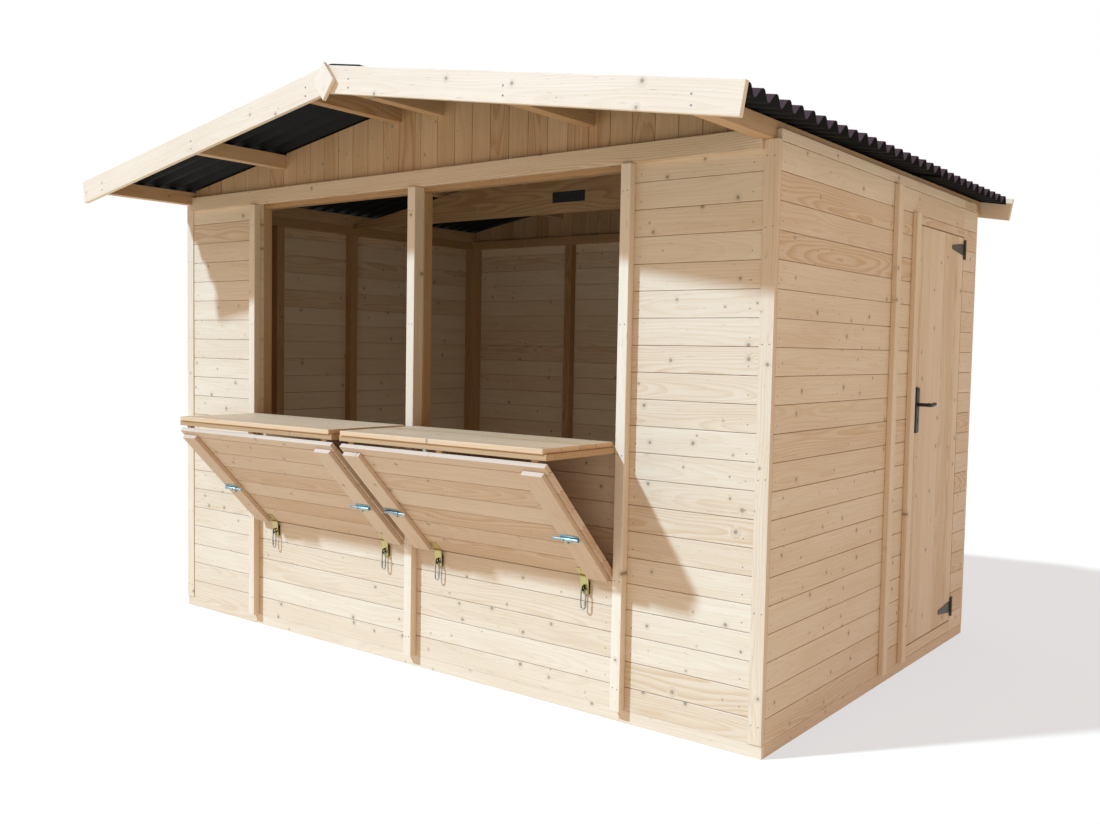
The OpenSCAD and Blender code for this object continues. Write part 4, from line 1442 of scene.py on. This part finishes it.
def barge_screws(rng):
    """Two screws through the barge boards into each purlin's end."""
    model = clad(screw_model(), wire_steel())
    low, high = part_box("barge_boards_right")
    screws = []
    for y, normal in ((low.y, (0, -1, 0)), (high.y, (0, 1, 0))):
        for name in PURLINS:
            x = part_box(name)[1].x - sizes().stud_width / 2
            for side in (-1, 1):
                for drop_z in (45 * MM, 15 * MM):
                    place = (side * x, y, under(x) - drop_z)
                    screws.append(copy_of(model, facing(place, normal, rng.uniform(0, 3))))
    drop(model)
    return screws


class STALL_OT_nails(bpy.types.Operator):
    """Adds the nail heads: in pairs on trims and corner boards, and along every post"""
    bl_idname = "stall.nails"
    bl_label = "Nails"

    def execute(self, context):
        s = sizes()
        rng = random.Random("nails")
        radius, proud = s.nail_radius, 0.35 * MM
        steel = nail_steel()
        heads = []
        rows = [s.first_joint + k * s.board_cover for k in range(20)]
        above_joint = 28 * MM
        below_top = 40 * MM
        stud = s.stud_width
        end = FRAME_HI.x - stud / 2
        by_corner, by_window = end + 4 * MM, LOW_WALL_HI.x + 60 * MM
        by_trim, by_mullion = LOW_WALL_HI.x - 42 * MM, 45 * MM
        trim_x = LOW_WALL_HI.x + 19 * MM
        trim_heights = (0.12, 0.48, 0.90, 1.33, 1.76)
        corner_heights = (0.10, 0.45, 0.86, 1.27, 1.62, 1.83)
        trim_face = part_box("front_trims")[0].y
        corner_lo, corner_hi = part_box("corner_boards")
        corner_x = (corner_hi.x + WALL_HI.x) / 2

        def jitter(value):
            return value + rng.uniform(-2, 2) * MM

        def add_heads(spots, place, normal):
            heads.extend(dots(spots, place, normal, radius, proud, steel))

        boards = [z + above_joint for z in rows if z < WALL_HI.z - below_top]
        piers = [(jitter(x), jitter(z)) for z in boards
                 for x in (-by_corner, -by_window, by_window, by_corner)
                 if z < WALL_HI.z - below_top]
        low_wall = [(jitter(x), jitter(z)) for z in boards if z < LOW_WALL_HI.z - below_top
                    for x in (-by_trim, -by_mullion, by_mullion, by_trim)]
        add_heads(piers + low_wall, lambda x, z: (x, LOW_WALL_LO.y, z), (0, -1, 0))
        rear = [(jitter(x), jitter(z)) for z in boards
                for x in (-end, -end / 2, 0, end / 2, end)]
        add_heads(rear, lambda x, z: (x, WALL_HI.y, z), (0, 1, 0))
        side_x = SIDE_HI.x + BOARD_T
        past_trim = 12 * MM
        for side in (-1, 1):
            first, second, _, last, *others = side_posts(side)
            if side > 0:
                others[0] += past_trim
            ys = [first - 2.5 * MM, second, last] + others
            sides = [(jitter(y), jitter(z)) for z in boards for y in ys]
            add_heads(sides, lambda y, z: (side * side_x, y, z), (side, 0, 0))
        pairs = [(x + dx, jitter(z)) for z in trim_heights
                 for x in (-trim_x, 0, trim_x) for dx in (-9 * MM, 9 * MM)]
        add_heads(pairs, lambda x, z: (x, trim_face, z), (0, -1, 0))
        corners = [(x + dx, jitter(z)) for z in corner_heights
                   for x in (-corner_x, corner_x) for dx in (-12 * MM, 12 * MM)]
        add_heads(corners, lambda x, z: (x, corner_lo.y, z), (0, -1, 0))
        add_heads(corners, lambda x, z: (x, corner_hi.y, z), (0, 1, 0))
        deliver(heads, "wall_nails", "zinc")

        deliver(barge_screws(rng), "barge_screws", "zinc")
        return {"FINISHED"}


# ---- fittings ----

BOLT_L = 78 * MM


def barrel_bolt_model(steel):
    """A barrel bolt along X on a plate in the XY plane, its rod toward -X."""
    plate_l, plate_w, plate_t = BOLT_L, 30 * MM, 2 * MM
    axis_z = plate_t + 5 * MM
    knob_x = 23.4 * MM
    plate = box((0, -plate_w / 2, 0), (plate_l, plate_w / 2, plate_t))
    round_corners(plate, "Z", 4 * MM, 4)
    barrel = round_bar((4 * MM, 0, axis_z), (plate_l - 4 * MM, 0, axis_z), 6 * MM, 0.6 * MM, 32)
    travel = box((16 * MM, -12 * MM, axis_z - 2.8 * MM), (50 * MM, 0, axis_z + 2.8 * MM))
    turn = box((16 * MM, -6 * MM, axis_z), (22.5 * MM, 5 * MM, axis_z + 12 * MM))
    bore = round_bar((0, 0, axis_z), (plate_l, 0, axis_z), 4.6 * MM)
    for cutter in (travel, turn, bore):
        cut_out(barrel, cutter)
    drop(travel, turn, bore)
    rod = round_bar((-34 * MM, 0, axis_z), (plate_l - 6 * MM, 0, axis_z), 4 * MM, 1 * MM, 28)
    knob = round_bar((knob_x, 0, axis_z), (knob_x, -24 * MM, axis_z), 2.7 * MM, 1 * MM)
    tip = round_bar((knob_x, -18 * MM, axis_z), (knob_x, -24.5 * MM, axis_z), 4 * MM, 1.2 * MM)
    head = screw_model(3.0 * MM)
    heads = [copy_of(head, Matrix.Translation((x, y, plate_t + 0.2 * MM))
                     @ Matrix.Rotation(x * 40, 4, "Z"))
             for x in (7 * MM, plate_l - 7 * MM) for y in (-10.5 * MM, 10.5 * MM)]
    drop(head)
    return clad(join([plate, barrel, rod, knob, tip] + heads), steel)


class STALL_OT_bolts(bpy.types.Operator):
    """Adds a barrel bolt across each shutter batten"""
    bl_idname = "stall.bolts"
    bl_label = "Barrel bolts"

    def execute(self, context):
        s = sizes()
        low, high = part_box("shutter_right")
        places, length = shutter_places()
        model = barrel_bolt_model(blue_zinc())
        top = s.shutter_thickness + s.batten_thickness
        up = 0.42 * length
        inset = s.batten_inset + s.batten_width / 2
        bolts = []
        for _, place in places:
            outer = Matrix.Translation((high.x - inset - BOLT_L / 2, up, top))
            inner = Matrix.Translation((low.x + inset + BOLT_L / 2, up, top))
            bolts.append(copy_of(model, place @ outer))
            bolts.append(copy_of(model, place @ inner @ Matrix.Scale(-1, 4, (1, 0, 0))))
        drop(model)
        deliver(bolts, "barrel_bolts", "zinc", "shutter_bolts", smooth=35)
        return {"FINISHED"}


HASP_W = 34 * MM
HASP_T = 2 * MM
HASP_HANG = 62 * MM


def at_hasps(model, across=0.0):
    """A copy of a model for each of the four hasps, beside the battens of both shutters.
    across shifts it from the hasp's edge."""
    s = sizes()
    low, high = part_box("shutter_right")
    reach = s.batten_inset + s.batten_width + 8 * MM
    return [copy_of(model, Matrix.Scale(side, 4, (1, 0, 0))
                    @ Matrix.Translation((x + across, 0, 0)))
            for x in (low.x + reach, high.x - reach - HASP_W) for side in (1, -1)]


def hasp_model(matrix, pin, lean):
    """A hasp: a leaf on the shutter, three knuckles round a pin and a slotted hanging leaf.
    matrix is the shutter's frame, and lean turns the hanging leaf toward the wall."""
    face = sizes().shutter_thickness
    leaf = box((0, -1 * MM, face), (HASP_W, 44 * MM, face + HASP_T))
    round_corners(leaf, "Z", 5 * MM, 4, lambda place: place.y > 20 * MM)
    leaf.data.transform(matrix)
    head = screw_model(3.0 * MM)
    heads = [copy_of(head, matrix @ Matrix.Translation((x * MM, y * MM, face + HASP_T)))
             for x, y in ((8, 12), (26, 12), (17, 34))]
    drop(head)
    knuckles = []
    for a, b in ((-1, 6.6), (7.0, 26.8), (27.2, 35)):
        knuckles.append(round_bar((a * MM, pin.y, pin.z), (b * MM, pin.y, pin.z), 4 * MM,
                                  0.5 * MM, 24))
    knuckles.append(round_bar((-1.6 * MM, pin.y, pin.z), (35.6 * MM, pin.y, pin.z), 2.2 * MM,
                              0.6 * MM))
    hang = box((0, -HASP_T / 2, -HASP_HANG), (HASP_W, HASP_T / 2, 0))
    round_corners(hang, "Y", 9 * MM, 6, lambda place: place.z < -30 * MM)
    slot_lo, past = -HASP_HANG + 8 * MM, 10 * MM
    slot = box((12.5 * MM, -past, slot_lo), (21.5 * MM, past, slot_lo + 26 * MM))
    round_corners(slot, "Y", 3.5 * MM, 5)
    cut_out(hang, slot)
    drop(slot)
    hang.data.transform(Matrix.Translation(pin) @ Matrix.Rotation(lean, 4, "X"))
    return clad(join([leaf, hang] + heads + knuckles), gold_zinc())


def staple_model(wall, height):
    """A staple: a plate on the wall with four screws and a bent eye that stands upright."""
    mid = HASP_W / 2
    plate = box((mid - 14 * MM, wall - 2 * MM, height - 22 * MM),
                (mid + 14 * MM, wall, height + 22 * MM))
    round_corners(plate, "Y", 4 * MM, 4)
    half = ((0, 8), (8, 8), (15, 8), (21.5, 7.9), (24.6, 5.5), (25, 3))
    outline = [(y, -z) for y, z in half] + list(reversed(half))
    eye = wire([(mid, wall - y * MM, height + z * MM) for y, z in outline], 2.5 * MM)
    head = screw_model(3.0 * MM)
    heads = [copy_of(head, facing((mid + x * MM, wall - 2 * MM, height + z * MM), (0, -1, 0), x))
             for x in (-9, 9) for z in (-16, 16)]
    drop(head)
    return clad(join([plate, eye] + heads), staple_yellow_zinc_painted_shade())


class STALL_OT_hasps(bpy.types.Operator):
    """Adds the hasps at the shutters' feet, and their staples on the wall"""
    bl_idname = "stall.hasps"
    bl_label = "Hasps and staples"

    def execute(self, context):
        matrix, _ = shutter_frame()
        wall = LOW_WALL_LO.y
        edge = matrix @ Vector((0, 0, sizes().shutter_thickness))
        pin = Vector((0, edge.y - 3 * MM, edge.z - 3 * MM))
        lean = math.asin((wall - 9 * MM - pin.y) / HASP_HANG)
        staple_z = pin.z - (HASP_HANG - 21 * MM) * math.cos(lean)
        model = hasp_model(matrix, pin, lean)
        deliver(at_hasps(model), "hasp_set", "yellow_zinc", "hasps", smooth=35)
        drop(model)
        model = staple_model(wall, staple_z)
        deliver(at_hasps(model), "staple_set", "yellow_zinc", "hasp_staples", smooth=35)
        drop(model)
        return {"FINISHED"}


class STALL_OT_snap_hooks(bpy.types.Operator):
    """Adds the wire snap hooks that hang from the staples"""
    bl_idname = "stall.snap_hooks"
    bl_label = "Snap hooks"

    def execute(self, context):
        low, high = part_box("snap_hooks")
        radius = 2.5 * MM
        bend = 9 * MM
        top, foot = high.z - radius, low.z + radius
        y = (low.y + high.y) / 2
        points = []
        for centre_z, turn in ((top - bend, 0), (foot + bend, math.pi)):
            for k in range(7):
                angle = turn + k * math.pi / 6
                points.append((bend * math.cos(angle), y, centre_z + bend * math.sin(angle)))
        loop = wire(points, radius, closed=True, steps=4)
        gate = round_bar((bend, y, foot + bend + 4 * MM), (bend, y, foot + bend + 18 * MM),
                         3.5 * MM, 0.8 * MM)
        ends = [round_bar((bend, y - 3.4 * MM, z), (bend, y + 3.4 * MM, z), 1.6 * MM, 0.4 * MM)
                for z in (foot + bend + 8 * MM, top - bend)]
        model = clad(join([loop, gate] + ends), wire_steel())
        hooks = at_hasps(model, HASP_W / 2)
        drop(model)
        deliver(hooks, "snap_hook_set", "zinc", "snap_hooks", smooth=40)
        return {"FINISHED"}


# ---- door ----

def spindle_bore(inner, outer):
    """A round cutter for the lever's spindle, from one x to another and a little past both."""
    past = 20 * MM
    return round_bar((inner - past, SPINDLE_Y, SPINDLE_Z), (outer + past, SPINDLE_Y, SPINDLE_Z),
                     SPINDLE_BORE, sides=32)


class STALL_OT_door(bpy.types.Operator):
    """Adds the door leaf: upright tongued boards on three ledges"""
    bl_idname = "stall.door"
    bl_label = "Door leaf"

    def execute(self, context):
        s = sizes()
        rng = random.Random("door")
        low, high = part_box("door_leaf")
        inner = high.x - BOARD_T
        bore = spindle_bore(low.x, high.x)
        first_joint = 71 * MM
        ledge_w = 85 * MM
        edges = joints_between(low.y, high.y, low.y + first_joint, s.board_cover)
        boards = []
        tight = 0.6 * MM
        for a, b in edges:
            bored = [bore] if a < SPINDLE_Y < b else []
            boards.append(timber((inner, a + (tight if a > low.y else 0), low.z),
                                 (high.x, b, high.z), "ZY", rng, board_wood(), 0.7 * MM,
                                 tongue=0.0 if b == high.y else s.tongue, cutters=bored))
        for z in (low.z + 120 * MM, (low.z + high.z) / 2 - 40 * MM, high.z - 200 * MM):
            boards.append(timber((low.x, low.y + 20 * MM, z),
                                 (inner, high.y - 40 * MM, z + ledge_w),
                                 "YZ", rng, board_wood(), 2 * MM))
        block = timber((low.x, SPINDLE_Y - 30 * MM, SPINDLE_Z - 84 * MM),
                       (inner, SPINDLE_Y + 30 * MM, SPINDLE_Z + 73 * MM), "ZY",
                       rng, board_wood(), 2 * MM, cutters=[bore])
        drop(bore)
        deliver(boards + [block], "door_boards", "pine_board", "door_leaf", body="door")
        return {"FINISHED"}


class STALL_OT_hinges(bpy.types.Operator):
    """Gives the T hinges their finish and adds their screws"""
    bl_idname = "stall.hinges"
    bl_label = "Door hinges"

    def execute(self, context):
        black = hinge_black()
        for node in ("door_hinge_plates", "door_hinge_straps"):
            clad(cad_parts[node], black)
        rng = random.Random("hinge screws")
        model = clad(screw_model(3.6 * MM), black)
        strap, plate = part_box("door_hinge_straps"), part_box("door_hinge_plates")
        levels = (plate[0].z + 41 * MM, plate[1].z - 41 * MM)
        face = DOOR_HI.x + 2.6 * MM
        root = strap[1].y - 26.5 * MM
        strap_row = ((0, 14), (0, -14), (33, 0), (73, 0), (113, 0))
        on_door = [(root - along * MM, z + up * MM) for z in levels for along, up in strap_row]
        on_post = [(plate[1].y - 11 * MM, z + up * MM) for z in levels for up in (-31, 0, 31)]
        for spots, body, name in ((on_door, "door", "strap_screws"),
                                  (on_post, "stall", "plate_screws")):
            heads = [copy_of(model, facing((face, y, z), (1, 0, 0), rng.uniform(0, 3)))
                     for y, z in spots]
            deliver(heads, name, "black_steel", body=body)
        drop(model)
        return {"FINISHED"}


class STALL_OT_lock(bpy.types.Operator):
    """Adds the lock plates with their keyholes, and the drooping levers"""
    bl_idname = "stall.lock"
    bl_label = "Lock and levers"

    def execute(self, context):
        black = lock_black()
        low, high = LOCK_LO, LOCK_HI
        y, z = SPINDLE_Y, SPINDLE_Z
        plate_t = 9 * MM
        key_z = z - 60 * MM
        past = 20 * MM
        bore = spindle_bore(low.x, high.x)
        key_round = round_bar((low.x - past, y, key_z), (high.x + past, y, key_z), 4.2 * MM,
                              sides=28)
        key_slot = box((low.x - past, y - 2 * MM, key_z - 16 * MM),
                       (high.x + past, y + 2 * MM, key_z - 1 * MM))
        parts = []
        for x0, x1 in ((low.x, low.x + plate_t), (high.x - plate_t, high.x)):
            plate = box((x0, low.y, low.z), (x1, high.y, high.z))
            round_corners(plate, "X", 12 * MM, 6)
            outer = max if x1 == high.x else min
            flat = outer(x0, x1)
            pick(plate, lambda a, b: abs(a.x - flat) < 1e-5 and abs(b.x - flat) < 1e-5, "EDGE")
            bpy.ops.mesh.bevel(offset=2.5 * MM, segments=3, affect="EDGES")
            leave()
            for cutter in (bore, key_round, key_slot):
                cut_out(plate, cutter)
            parts.append(plate)
            head = screw_model(3.4 * MM)
            side = 1 if x1 == high.x else -1
            for dz in (-80 * MM, 80 * MM):
                parts.append(copy_of(head, facing((flat, y, (low.z + high.z) / 2 + dz),
                                                  (side, 0, 0), dz)))
            drop(head)
        drop(bore, key_round, key_slot)
        for part in parts:
            clad(part, black)
        deliver(parts, "lock_plate_pair", "black_steel", "lock_plates", body="door", smooth=35)

        short = 12 * MM
        parts = [round_bar((LEVER_LO.x + short, y, z), (LEVER_HI.x - short, y, z), 7 * MM,
                           0.8 * MM, 28)]
        for x, face in ((high.x, 1), (low.x, -1)):
            parts.append(round_bar((x, y, z), (x + face * 6 * MM, y, z), 8 * MM, 1.5 * MM, 28))
        for x, face in ((LEVER_HI.x - 9 * MM, 1), (LEVER_LO.x + 9 * MM, -1)):
            path = [(x - face * 14 * MM, y, z), (x - face * 5 * MM, y + 1 * MM, z),
                    (x, y + 9 * MM, z - 0.5 * MM), (x, y + 22 * MM, z - 1 * MM),
                    (x - face * 0.5 * MM, y + 40 * MM, z),
                    (x - face * 1 * MM, y + 58 * MM, z + 1.5 * MM),
                    (x - face * 2 * MM, y + 74 * MM, z + 2 * MM)]
            parts.append(wire(path, 8 * MM, taper=(0.9, 1.0, 1.0, 0.95, 1.0, 1.0, 0.72),
                              steps=8))
            clear_selection()
            bpy.ops.mesh.primitive_uv_sphere_add(segments=20, ring_count=12, radius=5.6 * MM,
                                                 location=path[-1])
            parts.append(settle(context.object))
        for part in parts:
            clad(part, black)
        deliver(parts, "door_lever_pair", "black_steel", "door_lever", body="lever", smooth=40)
        return {"FINISHED"}


# ---- panel, registration and the whole build ----

STEPS = ("camera", "front_wall", "rear_wall", "side_walls", "frames", "purlins", "truss",
         "corner_boards", "trims", "roof_sheets", "ridge_cap", "barge_boards", "counters",
         "shutters", "bolts", "hasps", "snap_hooks", "door", "hinges", "lock", "nails",
         "stage")


class STALL_PT_panel(bpy.types.Panel):
    """Lists the pieces of the market stall"""
    bl_label = "Market stall"
    bl_idname = "STALL_PT_panel"
    bl_space_type = "VIEW_3D"
    bl_region_type = "UI"
    bl_category = "Market stall"

    def draw(self, context):
        column = self.layout.column()
        for step in STEPS:
            column.operator("stall." + step)
        for group in (sizes(), finishes(), context.scene.stall_light):
            for name in group.bl_rna.properties.keys():
                if name not in ("rna_type", "name"):
                    column.prop(group, name)


CLASSES = (StallSizes, StallFinishes, StallLight, STALL_OT_camera, STALL_OT_front_wall,
           STALL_OT_rear_wall, STALL_OT_side_walls, STALL_OT_frames, STALL_OT_purlins,
           STALL_OT_truss, STALL_OT_corner_boards, STALL_OT_trims, STALL_OT_roof_sheets,
           STALL_OT_ridge_cap, STALL_OT_barge_boards, STALL_OT_counters, STALL_OT_shutters,
           STALL_OT_bolts, STALL_OT_hasps, STALL_OT_snap_hooks, STALL_OT_door,
           STALL_OT_hinges, STALL_OT_lock, STALL_OT_nails, STALL_OT_stage, STALL_PT_panel)


def register():
    for cls in CLASSES:
        bpy.utils.register_class(cls)
    bpy.types.Scene.stall_sizes = PointerProperty(type=StallSizes)
    bpy.types.Scene.stall_finishes = PointerProperty(type=StallFinishes)
    bpy.types.Scene.stall_light = PointerProperty(type=StallLight)


def unregister():
    del bpy.types.Scene.stall_light
    del bpy.types.Scene.stall_finishes
    del bpy.types.Scene.stall_sizes
    for cls in reversed(CLASSES):
        bpy.utils.unregister_class(cls)


def main():
    register()
    for step in STEPS:
        getattr(bpy.ops.stall, step)()
    clear_models()


if __name__ == "__main__":
    main()
